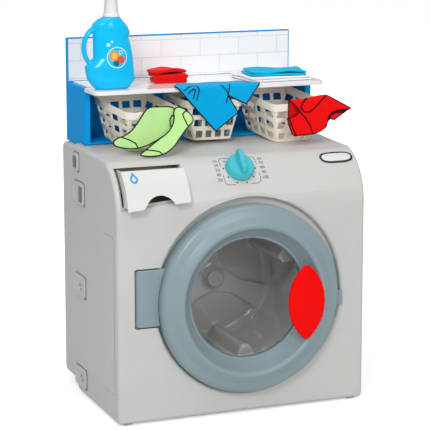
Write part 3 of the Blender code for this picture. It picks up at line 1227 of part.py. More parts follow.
def shirt():
    """A felt shirt that hangs over the right basket's front rim."""
    rim_in = BASKET_SPREAD - 2 * BASKET_WALL
    rim_z = BASKET_FRONT_Z + BASKET_HEIGHT * math.cos(BASKET_TILT) - rim_in * math.sin(BASKET_TILT)
    hang_y = BASKET_FRONT_Y - BASKET_SPREAD - BASKET_HEIGHT * math.sin(BASKET_TILT) - 2 * FELT
    front = [(-0.0235, 0.001), (-0.0174, 0.0028), (0.0460, 0.0028), (0.0730, -0.0145), (0.0660, -0.022),
             (0.0480, -0.030), (0.0450, -0.042), (0.0260, -0.054), (-0.0120, -0.057), (-0.0245, -0.026)]
    hung = flat_cloth("shirt", front, (BASKET_RIGHT_X, hang_y, rim_z), math.radians(4.0), FELT, RED_CLOTH)
    fold = block("shirt_fold", (BASKET_RIGHT_X - 0.0174, hang_y, rim_z + GAP),
                 (BASKET_RIGHT_X + 0.0440, hang_y + 0.0465, rim_z + 0.0028))
    join(hung, place("shirt_fold", fold))


def folded_laundry():
    """A folded cloth and two folded towels on the shelf."""
    rest = SHELF_TOP_Z + GAP
    waist_back = SHELF_FRONT_Y + 0.033
    low_y = waist_back + (SPLASH_FRONT_Y - waist_back - FOLDED_LENGTH) / 2
    cloth = block("folded_cloth", (FOLDED_RIGHT - FOLDED_WIDTH, low_y, rest),
                  (FOLDED_RIGHT, low_y + FOLDED_LENGTH, rest + FOLDED_HEIGHT), FOLDED_HEIGHT / 4)
    place("folded_cloth", cloth, RED_CLOTH)
    right = UNIT_HALF_WIDTH - TOWEL_INSET
    low_y = SHELF_FRONT_Y + (SPLASH_FRONT_Y - SHELF_FRONT_Y - TOWEL_LENGTH) / 5
    high_y = low_y + TOWEL_LENGTH
    top = rest + WHITE_TOWEL_HEIGHT
    white = block("towel_white", (TOWEL_LEFT, low_y, rest), (right, high_y, top), WHITE_TOWEL_HEIGHT / 3)
    place("towel_white", white, WHITE_CLOTH)
    inset = TEAL_TOWEL_INSET
    teal = block("towel_teal", (TOWEL_LEFT + inset, low_y + inset, top + GAP),
                 (right - inset, high_y - inset, top + GAP + TEAL_TOWEL_HEIGHT), TEAL_TOWEL_HEIGHT / 3)
    place("towel_teal", teal, TEAL_CLOTH)


front_shell()
rear_shell()
feet()
side_clips()
door_ring()
door_back()
window()
handle()
hinge_arm()
hinge_pin()
latch_tab()
drum()
axle_set()
tub()
knob()
click_set()
drawer_front()
drawer_tray()
drawer_sleeve()
shelf_unit()
tile_panel()
shelf()
baskets()
bottle()
socks()
shorts()
shirt()
folded_laundry()
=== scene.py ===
import math

import bmesh
import bpy
from mathutils import Matrix, Vector


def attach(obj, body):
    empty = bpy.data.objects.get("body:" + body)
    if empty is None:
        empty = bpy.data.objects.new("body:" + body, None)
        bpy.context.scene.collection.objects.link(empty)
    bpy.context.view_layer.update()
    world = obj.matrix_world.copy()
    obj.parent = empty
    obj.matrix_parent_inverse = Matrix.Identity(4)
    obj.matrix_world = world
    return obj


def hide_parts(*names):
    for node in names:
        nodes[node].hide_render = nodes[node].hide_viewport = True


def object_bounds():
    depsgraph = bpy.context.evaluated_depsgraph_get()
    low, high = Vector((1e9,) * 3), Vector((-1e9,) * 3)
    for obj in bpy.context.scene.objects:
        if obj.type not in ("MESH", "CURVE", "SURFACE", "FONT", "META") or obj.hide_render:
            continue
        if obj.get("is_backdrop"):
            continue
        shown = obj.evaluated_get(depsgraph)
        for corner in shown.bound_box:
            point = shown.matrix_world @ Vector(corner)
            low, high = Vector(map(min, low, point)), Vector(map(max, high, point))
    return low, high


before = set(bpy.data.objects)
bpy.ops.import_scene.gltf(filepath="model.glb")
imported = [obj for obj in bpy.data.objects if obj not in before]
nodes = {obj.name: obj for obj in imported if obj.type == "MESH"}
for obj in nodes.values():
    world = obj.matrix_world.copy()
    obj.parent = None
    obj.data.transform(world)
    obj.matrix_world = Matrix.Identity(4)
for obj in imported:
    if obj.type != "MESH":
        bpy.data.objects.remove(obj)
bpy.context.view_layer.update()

# The studio: a white sweep, soft lamps in front, at the upper left and overhead, and a camera that
# stands where the photograph was taken from. The photograph is 430 pixels wide and its optical axis
# passes 27 pixels above the middle of the frame.
FRAME_PIXELS = 430
FOCAL_PIXELS = 1806.3
SENSOR = 36.0
CAMERA_PLACE = (-1.1190, -2.8074, 0.9213)
CAMERA_PITCH = 0.18413
CAMERA_YAW = 0.38000
AXIS_ABOVE_MIDDLE = 27.0
LAMPS_AIM = (0.0, 0.0, 0.3)
FLOOR_HALF = 6.0
FLOOR_DROP = 0.0002
FLOOR_GREY = 0.80
FLOOR_GLOW = 0.52
GLOW_FULL_FROM = (0.35, 1.3)
AIR_LIGHT = 0.42

studio = bpy.context.scene
studio.view_settings.view_transform = "Standard"
camera_data = bpy.data.cameras.new("photographer")
camera_data.sensor_width = SENSOR
camera_data.lens = SENSOR * FOCAL_PIXELS / FRAME_PIXELS
camera_data.shift_y = -AXIS_ABOVE_MIDDLE / FRAME_PIXELS
camera_data.clip_end = 50.0
camera = bpy.data.objects.new("photographer", camera_data)
camera.location = CAMERA_PLACE
camera.rotation_euler = (math.pi / 2 - CAMERA_PITCH, 0.0, -CAMERA_YAW)
studio.collection.objects.link(camera)
studio.camera = camera


def softbox(name, place, size, watts):
    """A square soft lamp that faces the object."""
    lamp = bpy.data.lights.new(name, "AREA")
    lamp.shape = "SQUARE"
    lamp.size = size
    lamp.energy = watts
    holder = bpy.data.objects.new(name, lamp)
    holder.location = place
    holder.rotation_euler = (Vector(LAMPS_AIM) - Vector(place)).to_track_quat("-Z", "Y").to_euler()
    studio.collection.objects.link(holder)


softbox("key_front", place=(0.5, -3.0, 1.4), size=0.9, watts=17.0)
softbox("key_front_left", place=(-1.5, -2.1, 2.0), size=0.7, watts=29.0)
softbox("overhead", place=(-0.1, -0.4, 2.6), size=1.8, watts=16.0)


class Field:
    """One output of a material's node tree. Arithmetic on it adds Math nodes, and node() adds any other."""

    def __init__(self, socket):
        self.socket = socket

    def node(self, kind, settings=None, inputs=None, out=0):
        tree = self.socket.id_data
        made = tree.nodes.new(kind)
        for name, value in (settings or {}).items():
            setattr(made, name, value)
        for name, value in (inputs or {}).items():
            if isinstance(value, Field):
                tree.links.new(value.socket, made.inputs[name])
            else:
                made.inputs[name].default_value = value
        return Field(made.outputs[out])

    def math(self, operation, first, second=0.0):
        return self.node("ShaderNodeMath", {"operation": operation}, {0: first, 1: second})

    def __add__(self, other):
        return self.math("ADD", self, other)

    __radd__ = __add__

    def __sub__(self, other):
        return self.math("SUBTRACT", self, other)

    def __rsub__(self, other):
        return self.math("SUBTRACT", other, self)

    def __mul__(self, other):
        return self.math("MULTIPLY", self, other)

    __rmul__ = __mul__

    def __truediv__(self, other):
        return self.math("DIVIDE", self, other)

    def part(self, index):
        """One number of a place: 0 across, 1 back, 2 up."""
        return self.node("ShaderNodeSeparateXYZ", None, {0: self}, out=index)

    def noise(self, scale, detail=2.0, roughness=0.5):
        """Noise about zero, from the place held in this field."""
        made = self.node("ShaderNodeTexNoise", None,
                         {"Vector": self, "Scale": scale, "Detail": detail, "Roughness": roughness})
        return made - 0.5

    def between(self, low, high):
        """0 below low, 1 above high, and a straight ramp between."""
        return self.node("ShaderNodeMapRange", {"clamp": True},
                         {"Value": self, "From Min": low, "From Max": high})

    def far(self, across, up, radius, soft):
        """0 within a radius of a point in the front plane, 1 beyond it."""
        side = self.part(0) - across
        rise = self.part(2) - up
        return self.math("SQRT", side * side + rise * rise).between(radius - soft, radius + soft)

    def blend(self, first, second):
        """first where this mask is 0, second where it is 1; each is a colour or a field."""
        return self.node("ShaderNodeMix", {"data_type": "RGBA"},
                         {"Factor": self, "A": first, "B": second}, out=2)


def colour(red, green, blue):
    """A colour as it reads on a screen, 0 to 255, made linear for a shader."""
    def linear(value):
        share = value / 255.0
        return share / 12.92 if share <= 0.04045 else ((share + 0.055) / 1.055) ** 2.4
    return (linear(red), linear(green), linear(blue), 1.0)


class Finish:
    """A material under construction: its Principled shader and the place on the object as a Field."""

    def __init__(self, name, **settings):
        self.material = bpy.data.materials.new(name)
        self.material.use_nodes = True
        self.tree = self.material.node_tree
        self.shader = self.tree.nodes["Principled BSDF"]
        for socket, value in settings.items():
            self.shader.inputs[socket.replace("_", " ")].default_value = value
        self.place = Field(self.tree.nodes.new("ShaderNodeTexCoord").outputs["Object"])

    def feed(self, socket, field):
        self.tree.links.new(field.socket, self.shader.inputs[socket])

    def drawn(self, name):
        """A number kept on each point of a piece's mesh."""
        return self.place.node("ShaderNodeAttribute", {"attribute_name": name}, out=2)

    def relief(self, height, depth):
        """Bump from a height field, depth in metres."""
        bump = height.node("ShaderNodeBump", None, {"Height": height, "Distance": depth, "Strength": 1.0})
        self.feed("Normal", bump)


def grey(share):
    return (share, share, share, 1.0)


floor_finish = Finish("studio_floor", Roughness=0.9, Base_Color=grey(FLOOR_GREY), Emission_Strength=1.0)
floor_sight = Field(floor_finish.tree.nodes.new("ShaderNodeLightPath").outputs["Is Camera Ray"])
floor_away = floor_finish.place.node("ShaderNodeVectorMath", {"operation": "LENGTH"},
                                     {0: floor_finish.place}, out=1)
floor_light = floor_away.between(*GLOW_FULL_FROM).blend(grey(FLOOR_GLOW), grey(1.0))
floor_finish.feed("Emission Color", floor_sight.blend(grey(0.0), floor_light))
world = bpy.data.worlds.new("studio_air")
world.use_nodes = True
studio.world = world
air = world.node_tree.nodes["Background"]
air.inputs["Color"].default_value = grey(1.0)
paths = world.node_tree.nodes.new("ShaderNodeLightPath")
seen = Field(paths.outputs["Is Camera Ray"])
seen = seen.math("MAXIMUM", seen, Field(paths.outputs["Is Transmission Ray"]))
world.node_tree.links.new((seen * (1.0 - AIR_LIGHT) + AIR_LIGHT).socket, air.inputs["Strength"])

sweep = bmesh.new()
bmesh.ops.create_grid(sweep, x_segments=1, y_segments=1, size=FLOOR_HALF)
floor_mesh = bpy.data.meshes.new("floor")
sweep.to_mesh(floor_mesh)
sweep.free()
floor = bpy.data.objects.new("floor", floor_mesh)
floor.location.z = -FLOOR_DROP
floor_mesh.materials.append(floor_finish.material)
studio.collection.objects.link(floor)
floor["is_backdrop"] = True

# Body: two blow-moulded polyethylene shells in warm light grey, satin, with the fine grain that the
# mould leaves and a slow waviness over their large faces. The front shell and the rear cover meet at a
# seam near the back; four small pads are moulded under the front one.
BODY_GREY = colour(205, 205, 202)
DRIFT_SCALE = 14.0
GRAIN_SCALE = 1400.0
MILLIMETRE = 0.001
WELD = 2e-6


def moulded(name, tint, roughness, grain=0.00003, wave=0.0004, fleck=0.02, **settings):
    """Moulded plastic: an even colour with slow drift, fine grain, and a roughness that follows both."""
    finish = Finish(name, **settings)
    slow = finish.place.noise(DRIFT_SCALE, 3.0)
    fine = finish.place.noise(GRAIN_SCALE, 1.0)
    darker = tuple(channel * (1 - fleck * 2) for channel in tint[:3]) + (1.0,)
    paler = tuple(min(1.0, channel * (1 + fleck * 2)) for channel in tint[:3]) + (1.0,)
    finish.tone = (slow + fine * 0.35 + 0.5).blend(darker, paler)
    finish.feed("Base Color", finish.tone)
    finish.feed("Roughness", slow * 0.12 + fine * 0.10 + roughness)
    finish.relief(fine * (grain / MILLIMETRE) + slow * (wave / MILLIMETRE), MILLIMETRE)
    return finish


def dress(names, finish):
    for name in names:
        nodes[name].data.materials.clear()
        nodes[name].data.materials.append(finish.material)


def stand(name, shape, finish, body, *replaced, angle=38.0):
    """A finished piece: its mesh smooth-shaded up to an angle, its material on, riding on a body."""
    mesh = bpy.data.meshes.new(name)
    shape.to_mesh(mesh)
    shape.free()
    mesh.shade_smooth()
    mesh.set_sharp_from_angle(angle=math.radians(angle))
    mesh.materials.append(finish.material)
    piece = bpy.data.objects.new(name, mesh)
    studio.collection.objects.link(piece)
    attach(piece, body)
    if replaced:
        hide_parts(*replaced)
    return piece


def refined(node, finish, body, edge=0.0, angle=38.0, segments=2):
    """A welded, smooth-shaded copy of a CAD node that stands in its place, with its edges eased."""
    shape = bmesh.new()
    shape.from_mesh(nodes[node].data)
    bmesh.ops.remove_doubles(shape, verts=shape.verts, dist=WELD)
    bmesh.ops.dissolve_limit(shape, angle_limit=math.radians(0.4), verts=shape.verts, edges=shape.edges)
    piece = stand(node + "_moulding", shape, finish, body, node, angle=angle)
    if edge:
        eased = piece.modifiers.new("eased edges", "BEVEL")
        eased.width = edge
        eased.segments = segments
        eased.limit_method = "ANGLE"
        eased.angle_limit = math.radians(angle)
        eased.harden_normals = True
    else:
        even = piece.modifiers.new("even normals", "WEIGHTED_NORMAL")
        even.keep_sharp = True


body_finish = moulded("body_satin_grey", BODY_GREY, 0.40)
refined("front_shell", body_finish, "machine")
refined("rear_shell", body_finish, "machine")
dress([n for n in nodes if n.startswith("foot_")], body_finish)

# Side clips: eight rounded blocks of the same grey plastic, glossier than the shells, pressed into slots
# across the seam so that they lock the two shells together. The shade in the gap round each is painted:
# a thin dark plate on the body. The upper two of a side have a pocket where the lower two have a pair of
# short slits, and the shade in these is painted too, as thin dark plates on the clip's face.
CLIP_WALL_X = 0.2201
CLIP_FACE_X = 0.22345
CLIP_EDGE = 0.0010
GAP_SHOWS = 0.0003
GAP_IN_FRONT = 0.0016
GAP_BELOW = 0.0010
GAP_ABOVE = 0.0012
SHADE_SHOWS = 0.0002
GAP_CORNER = 0.0050
SHADE_CORNER = 0.0012
POCKET_SET_IN = (0.010, 0.024, 0.006)
SLIT_PLACES = ((0.021, 0.024, 0.001, 0.006), (0.015, 0.018, -0.006, -0.001))
clip_finish = moulded("clip_grey", colour(200, 201, 202), 0.30, Coat_Weight=0.3)
painted_shade_finish = moulded("clip_gap_shadow", colour(128, 129, 131), 0.6)


def slab(name, low, high, finish, body, corner, edge=0.0):
    """A flat plate between two corners, its upright edges rounded by corner and the rest eased by edge."""
    shape = bmesh.new()
    bmesh.ops.create_cube(shape, size=1.0)
    size = Vector(high) - Vector(low)
    bmesh.ops.scale(shape, vec=size, verts=shape.verts)
    thin = min(range(3), key=lambda axis: size[axis])
    across = [e for e in shape.edges if abs((e.verts[0].co - e.verts[1].co)[thin]) > 1e-7]
    bmesh.ops.bevel(shape, geom=across, offset=corner, affect="EDGES", segments=6, profile=0.5, material=-1)
    if edge:
        rims = [e for e in shape.edges if e.calc_face_angle(0.0) > 1.2]
        bmesh.ops.bevel(shape, geom=rims, offset=edge, affect="EDGES", segments=2, profile=0.5, material=-1)
    bmesh.ops.translate(shape, vec=(Vector(low) + Vector(high)) / 2, verts=shape.verts)
    return stand(name, shape, finish, body)


def plate_on(name, side, x, shows, front, back, base, top, corner):
    """A thin dark plate of painted shade on a side of the body, standing out from x by what shows."""
    inner, outer = sorted((side * x, side * (x + shows)))
    slab(name, (inner, front, base), (outer, back, top), painted_shade_finish, "machine", corner)


for node in [n for n in nodes if n.startswith("clip_")]:
    refined(node, clip_finish, "machine", edge=CLIP_EDGE)
    corners = [point.co for point in nodes[node].data.vertices]
    near = Vector([min(co[axis] for co in corners) for axis in range(3)])
    far = Vector([max(co[axis] for co in corners) for axis in range(3)])
    side = -1.0 if near.x < 0 else 1.0
    # Painted shade: a dark plate on the body, a little larger than the clip, stands for the shadow in its
    # gap.
    plate_on(node + "_gap", side, CLIP_WALL_X, GAP_SHOWS, near.y - GAP_IN_FRONT, far.y,
             near.z - GAP_BELOW, far.z + GAP_ABOVE, GAP_CORNER)
    middle = (near.z + far.z) / 2
    # Painted shade: dark plates on the clip's face stand for the shadow in its pocket or its two slits.
    if node.endswith(("_1", "_2")):
        front, back, rim = POCKET_SET_IN
        pockets = [(near.y + front, near.y + back, near.z + rim, far.z - rim)]
    else:
        pockets = [(near.y + front, near.y + back, middle + base, middle + top)
                   for front, back, base, top in SLIT_PLACES]
    for count, pocket in enumerate(pockets):
        plate_on(f"{node}_pocket_{count}", side, CLIP_FACE_X, SHADE_SHOWS, *pocket, SHADE_CORNER)

# Clear strip on the left side: a plain thin sheet of glossy plastic bonded to the shell near its front
# edge, with a narrow painted shadow round it: a thin dark plate a little larger than the strip, under it.
STRIP_LOW = (-0.2203, -0.1180, 0.050)
STRIP_HIGH = (-0.2200, -0.0690, 0.311)
STRIP_CORNER = 0.0060
STRIP_SHADE = 0.0006
STRIP_SHADE_BEHIND = 0.0002
strip_finish = moulded("strip_clear_grey", colour(202, 203, 204), 0.12)
shade_low = (STRIP_LOW[0] + STRIP_SHADE_BEHIND, STRIP_LOW[1] - STRIP_SHADE, STRIP_LOW[2] - STRIP_SHADE)
shade_high = (STRIP_HIGH[0], STRIP_HIGH[1] + STRIP_SHADE, STRIP_HIGH[2] + STRIP_SHADE)
# Painted shadow: the dark plate that shows round the strip's edge.
slab("side_strip_shadow", shade_low, shade_high, painted_shade_finish, "machine", STRIP_CORNER + STRIP_SHADE)
slab("side_strip", STRIP_LOW, STRIP_HIGH, strip_finish, "machine", STRIP_CORNER)

# Door: a deep ring of slate-blue plastic with a crest and a funnel down to the window, moulded in one
# piece. A flat ring clamps the window from behind. A hinge plate is joined to its left edge, where the
# body has a shallow pocket for it, and a catch stands out at its right edge.
FRONT_Y = -0.1355
DOOR_AXIS = Vector((0.0075, FRONT_Y, 0.197))
DOOR_RADIUS = 0.158
CREST_RADIUS = 0.125
WINDOW_RADIUS = 0.101
RING_BACK = -0.008
RING_STEPS = 160
POCKET_SHADE_Y = FRONT_Y - 0.0002
POCKET_SHADE_RUN = (0.0005, 0.0400)
POCKET_SHADE_WIDTH = 0.0016
POCKET_CLEARANCE = 0.0012
CATCH_LOW = (0.1620, -0.1415, 0.1715)
CATCH_HIGH = (0.1762, -0.1362, 0.1970)
SLATE = colour(138, 158, 164)


def spun(name, profile, steps, finish, body, *replaced, axis=DOOR_AXIS,
         turn=Matrix.Rotation(math.pi / 2, 3, "X")):
    """A closed (radius, height) profile spun about a line through axis; height runs to the front."""
    shape = bmesh.new()
    corners = [shape.verts.new((radius, 0.0, height)) for radius, height in profile]
    chain = [shape.edges.new((a, b)) for a, b in zip(corners, corners[1:])]
    if profile[0][0] > 0.0 and profile[-1][0] > 0.0:
        chain.append(shape.edges.new((corners[-1], corners[0])))
    bmesh.ops.spin(shape, geom=corners + chain, cent=(0, 0, 0), axis=(0, 0, 1), angle=2 * math.pi,
                   steps=steps, use_merge=True)
    bmesh.ops.remove_doubles(shape, verts=shape.verts, dist=WELD / 2)
    bmesh.ops.recalc_face_normals(shape, faces=shape.faces)
    bmesh.ops.rotate(shape, cent=(0, 0, 0), matrix=turn, verts=shape.verts)
    bmesh.ops.translate(shape, vec=axis, verts=shape.verts)
    return stand(name, shape, finish, body, *replaced)


def bend(centre, radius, start, end, count):
    """Points of an arc in degrees, both ends included."""
    turns = [math.radians(start + (end - start) * i / count) for i in range(count + 1)]
    return [(centre[0] + radius * math.cos(a), centre[1] + radius * math.sin(a)) for a in turns]


def band(shape, points, width):
    """A flat line of even width along points."""
    pairs = []
    for index, point in enumerate(points):
        before, after = points[max(index - 1, 0)], points[min(index + 1, len(points) - 1)]
        along = (Vector(after) - Vector(before)).normalized()
        side = Vector((-along.y, along.x)) * width / 2
        pairs.append((shape.verts.new((point[0] + side.x, point[1] + side.y, 0)),
                      shape.verts.new((point[0] - side.x, point[1] - side.y, 0))))
    for a, b in zip(pairs, pairs[1:]):
        shape.faces.new((a[0], b[0], b[1], a[1]))


slate_finish = moulded("door_slate", SLATE, 0.36, Coat_Weight=0.15, Coat_Roughness=0.3)
outer_wall = [(DOOR_RADIUS, RING_BACK), (DOOR_RADIUS, 0.004)]
outer_edge = bend((DOOR_RADIUS - 0.0115, 0.0085), 0.0115, 4, 74, 9)
valley = bend((CREST_RADIUS + 0.0165, 0.0260), 0.0040, -105, -135, 3)
crest = bend((CREST_RADIUS + 0.0010, 0.0210), 0.0070, 52, 168, 14)
window_lip = bend((WINDOW_RADIUS + 0.0022, 0.0002), 0.0022, 60, 180, 6)
window_seat = [(WINDOW_RADIUS, -0.0030), (WINDOW_RADIUS + 0.0030, -0.0030), (WINDOW_RADIUS + 0.0090, -0.0010)]
hollow_back = [(CREST_RADIUS - 0.001, 0.0190), (CREST_RADIUS + 0.014, 0.0195), (DOOR_RADIUS - 0.006, 0.012),
               (DOOR_RADIUS - 0.003, 0.006), (DOOR_RADIUS - 0.003, RING_BACK)]
ring_profile = outer_wall + outer_edge + valley + crest + window_lip + window_seat + hollow_back
spun("door_ring_moulding", ring_profile, RING_STEPS, slate_finish, "door", "door_ring")
refined("hinge_arm", slate_finish, "door", edge=0.0022, segments=3)
plate = [point.co for point in nodes["hinge_arm"].data.vertices]
left, low, high = min(p.x for p in plate), min(p.z for p in plate), max(p.z for p in plate)
# Painted shade: two thin dark lines on the body's face, just above and below the hinge plate, stand for the
# shadow in its pocket.
pocket_shade_lines = bmesh.new()
for rise in (high + POCKET_CLEARANCE, low - POCKET_CLEARANCE):
    band(pocket_shade_lines, [(left + reach, rise) for reach in POCKET_SHADE_RUN], POCKET_SHADE_WIDTH)
for point in pocket_shade_lines.verts:
    point.co = Vector((point.co.x, POCKET_SHADE_Y, point.co.y))
pocket_shade_finish = moulded("pocket_shadow", colour(52, 54, 56), 0.7)
stand("hinge_pocket_shade_lines", pocket_shade_lines, pocket_shade_finish, "machine")
catch = slab("latch_tab_moulding", CATCH_LOW, CATCH_HIGH, slate_finish, "door", corner=0.0012, edge=0.0005)
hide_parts("latch_tab")
dress(["door_back"], slate_finish)

# Window: a shallow clear dome of moulded polystyrene, glossy on both sides. Its flat rim is clamped
# between the door's ring and the flat ring behind it.
WINDOW_RISE = 0.007
WINDOW_WALL = 0.0018
WINDOW_FLANGE = 0.006
DOME_INSET = 0.002
WINDOW_SEAT = -0.0033
WINDOW_STEPS = 96
ARC_STEPS = 14
CLEAR_IOR = 1.45
CLEAR_MIRROR = 0.4
CLEAR_DULL = (0.86, 0.88, 0.89, 1.0)
CLEAR_BRIGHT = (0.94, 0.95, 0.96, 1.0)
glass = Finish("window_clear", Metallic=1.0)
glass_smear = glass.place.noise(9.0, 2.0)
glass.feed("Base Color", (glass_smear + 0.5).blend(CLEAR_DULL, CLEAR_BRIGHT))
glass.feed("Roughness", glass_smear * 0.05 + 0.05)
glass.feed("Alpha", glass.place.node("ShaderNodeFresnel", None, {"IOR": CLEAR_IOR}) * CLEAR_MIRROR)
dome_flat = WINDOW_RADIUS - DOME_INSET
dome_radius = (dome_flat ** 2 + WINDOW_RISE ** 2) / (2 * WINDOW_RISE)
dome_half = math.degrees(math.asin(dome_flat / dome_radius))
dome_centre = (0.0, WINDOW_SEAT + WINDOW_RISE - dome_radius)
flange = WINDOW_RADIUS + WINDOW_FLANGE
window_profile = bend(dome_centre, dome_radius - WINDOW_WALL, 90, 90 - dome_half, ARC_STEPS)
window_profile += [(flange, WINDOW_SEAT - WINDOW_WALL), (flange, WINDOW_SEAT)]
window_profile += bend(dome_centre, dome_radius, 90 - dome_half, 90, ARC_STEPS)
for pole in (0, -1):
    window_profile[pole] = (0.0, window_profile[pole][1])
spun("window_dome", window_profile, WINDOW_STEPS, glass, "door", "window")

# Door handle: a leaf of bright red plastic that bridges the ring's crest and the window's edge, flat on
# its face with a soft edge; it snaps on from behind.
red_finish = moulded("handle_red", colour(250, 0, 0), 0.3, fleck=0.01, Specular_IOR_Level=0.1)
refined("handle", red_finish, "door", edge=0.0007, angle=30.0)

# Drum: a cup of grey plastic in one moulding, glossy, with a three-armed spider raised on its back and
# three lifting paddles along its wall. All its inner corners are soft, as the mould leaves them. A cap
# covers its hub, which turns by a nylon bush on a fixed steel axle.
DRUM_GREY = colour(186, 185, 184)
DRUM_VOXEL = 0.0022
HUB_RADIUS = 0.0147
HUB_LOW, HUB_HIGH = -0.1517, -0.1459
HUB_EASE = 0.0019
STEEL_GREY = (0.62, 0.62, 0.64, 1.0)
drum_finish = moulded("drum_gloss_grey", DRUM_GREY, 0.14, grain=0.0, wave=0.0006, Coat_Weight=1.0,
                      Coat_Roughness=0.04)


def softened(node, finish, body, voxel, passes):
    """A CAD node's copy as a soft-cornered mould gives it: every edge and joint runs into the next."""
    shape = bmesh.new()
    shape.from_mesh(nodes[node].data)
    bmesh.ops.remove_doubles(shape, verts=shape.verts, dist=WELD)
    piece = stand(node + "_moulding", shape, finish, body, node, angle=180.0)
    net = piece.modifiers.new("even net", "REMESH")
    net.mode = "VOXEL"
    net.voxel_size = voxel
    net.use_smooth_shade = True
    soft = piece.modifiers.new("soft corners", "SMOOTH")
    soft.factor = 0.5
    soft.iterations = passes


softened("drum", drum_finish, "drum", DRUM_VOXEL, passes=5)
dress(["tub"], drum_finish)
nylon_finish = moulded("hub_nylon", colour(196, 197, 200), 0.38)
hub_finish = moulded("hub_cap_grey", colour(172, 173, 176), 0.3)
hub_profile = [(0.0, HUB_LOW), (HUB_RADIUS, HUB_LOW), (HUB_RADIUS, HUB_HIGH - HUB_EASE)]
hub_profile += bend((HUB_RADIUS - HUB_EASE, HUB_HIGH - HUB_EASE), HUB_EASE, 0, 90, 4) + [(0.0, HUB_HIGH)]
spun("hub_cap_round", hub_profile, 48, hub_finish, "drum", "hub_cap")
dress(["axle_bush"], nylon_finish)
steel = Finish("pin_steel", Metallic=1.0, Base_Color=STEEL_GREY)
steel.feed("Roughness", steel.place.noise(600.0, 2.0) * 0.2 + 0.3)
dress(["drum_axle", "axle_nut", "hinge_pin", "click_spring"], steel)

# Dial: a turquoise knob, a low round cap with a tall pointer across it, on a shaft with a click wheel.
# The scale round it is printed on the panel in black: a frame line, ten dots and plain numbers.
DIAL_X = 0.002
DIAL_TURN = math.radians(45.9)
PANEL_RADIUS = 0.090
PANEL_AXIS_Z = 0.345
FRAME_LEFT, FRAME_RIGHT, FRAME_LOW, FRAME_HIGH = -0.0310, 0.0330, -0.0290, 0.0250
FRAME_CORNER = 0.008
FRAME_LEG = 0.010
FRAME_LINE = 0.0009
DOTS = 10
FIRST_DOT = 105.0
DOT_CIRCLE = 0.0276
DOT_RADIUS = 0.0014
NUMBER_COLUMNS = ((-0.0385, 10), (0.0415, 60))
NUMBER_ROWS = 5
NUMBER_TOP = 0.0185
NUMBER_PITCH = 0.0095
NUMBER_SIZE = 0.0080
INK_LIFT = 0.00012
dial_finish = moulded("dial_turquoise", colour(70, 190, 204), 0.3, Specular_IOR_Level=0.3)
refined("knob", dial_finish, "dial", edge=0.0009, angle=34.0, segments=3)
dress(["knob_shaft"], dial_finish)
dress(["click_wheel"], nylon_finish)
ink_finish = moulded("print_black", colour(34, 36, 38), 0.5)


def on_panel(shape, lift):
    """Wraps a flat drawing, (across, along) from the dial's centre, onto the curved panel."""
    for point in shape.verts:
        turn = DIAL_TURN + point.co.y / PANEL_RADIUS
        reach = PANEL_RADIUS + lift + point.co.z
        point.co = Vector((DIAL_X + point.co.x, FRONT_Y + PANEL_RADIUS - reach * math.cos(turn),
                           PANEL_AXIS_Z + reach * math.sin(turn)))


def lettered(shape, text, across, along, size):
    """A plain number set at a point, as flat faces."""
    curve = bpy.data.curves.new("number", "FONT")
    curve.body = text
    curve.size = size
    curve.align_x = "CENTER"
    curve.align_y = "CENTER"
    curve.resolution_u = 3
    holder = bpy.data.objects.new("number", curve)
    studio.collection.objects.link(holder)
    bpy.context.view_layer.update()
    mesh = bpy.data.meshes.new_from_object(holder.evaluated_get(bpy.context.evaluated_depsgraph_get()))
    bpy.data.objects.remove(holder)
    mesh.transform(Matrix.Translation((across, along, 0)))
    shape.from_mesh(mesh)


scale_print = bmesh.new()
for start, *corner in ((0, FRAME_RIGHT, FRAME_HIGH), (90, FRAME_LEFT, FRAME_HIGH),
                       (180, FRAME_LEFT, FRAME_LOW), (270, FRAME_RIGHT, FRAME_LOW)):
    inward = [edge - math.copysign(FRAME_CORNER, edge) for edge in corner]
    line = bend(inward, FRAME_CORNER, start, start + 90, 8)
    across, along = FRAME_LEG * math.cos(math.radians(start)), FRAME_LEG * math.sin(math.radians(start))
    lead_in = (line[0][0] + along, line[0][1] - across)
    lead_out = (line[-1][0] - across, line[-1][1] - along)
    band(scale_print, [lead_in] + line + [lead_out], FRAME_LINE)
for dot in range(DOTS):
    turn = math.radians(FIRST_DOT + 360.0 / DOTS * dot)
    made = bmesh.ops.create_circle(scale_print, cap_ends=True, radius=DOT_RADIUS, segments=12)["verts"]
    bmesh.ops.translate(scale_print, verts=made,
                        vec=(DOT_CIRCLE * math.cos(turn), DOT_CIRCLE * math.sin(turn), 0))
for across, first in NUMBER_COLUMNS:
    for row in range(NUMBER_ROWS):
        lettered(scale_print, str(first + 10 * row), across, NUMBER_TOP - NUMBER_PITCH * row, NUMBER_SIZE)
bmesh.ops.triangulate(scale_print, faces=scale_print.faces)
on_panel(scale_print, INK_LIFT)
stand("dial_scale", scale_print, ink_finish, "machine")

# Plain oval plate at the panel's right: a black plastic rim round a white face. Both are thin ovals with
# eased edges, bent to the panel's curve and bonded on.
PLATE_CENTRE = (0.181, 0.0100)
PLATE_HALF = (0.0300, 0.0122)
PLATE_RIM = 0.0036
PLATE_EASE = 0.0003
PLATE_FULLNESS = (0.6, 0.8)


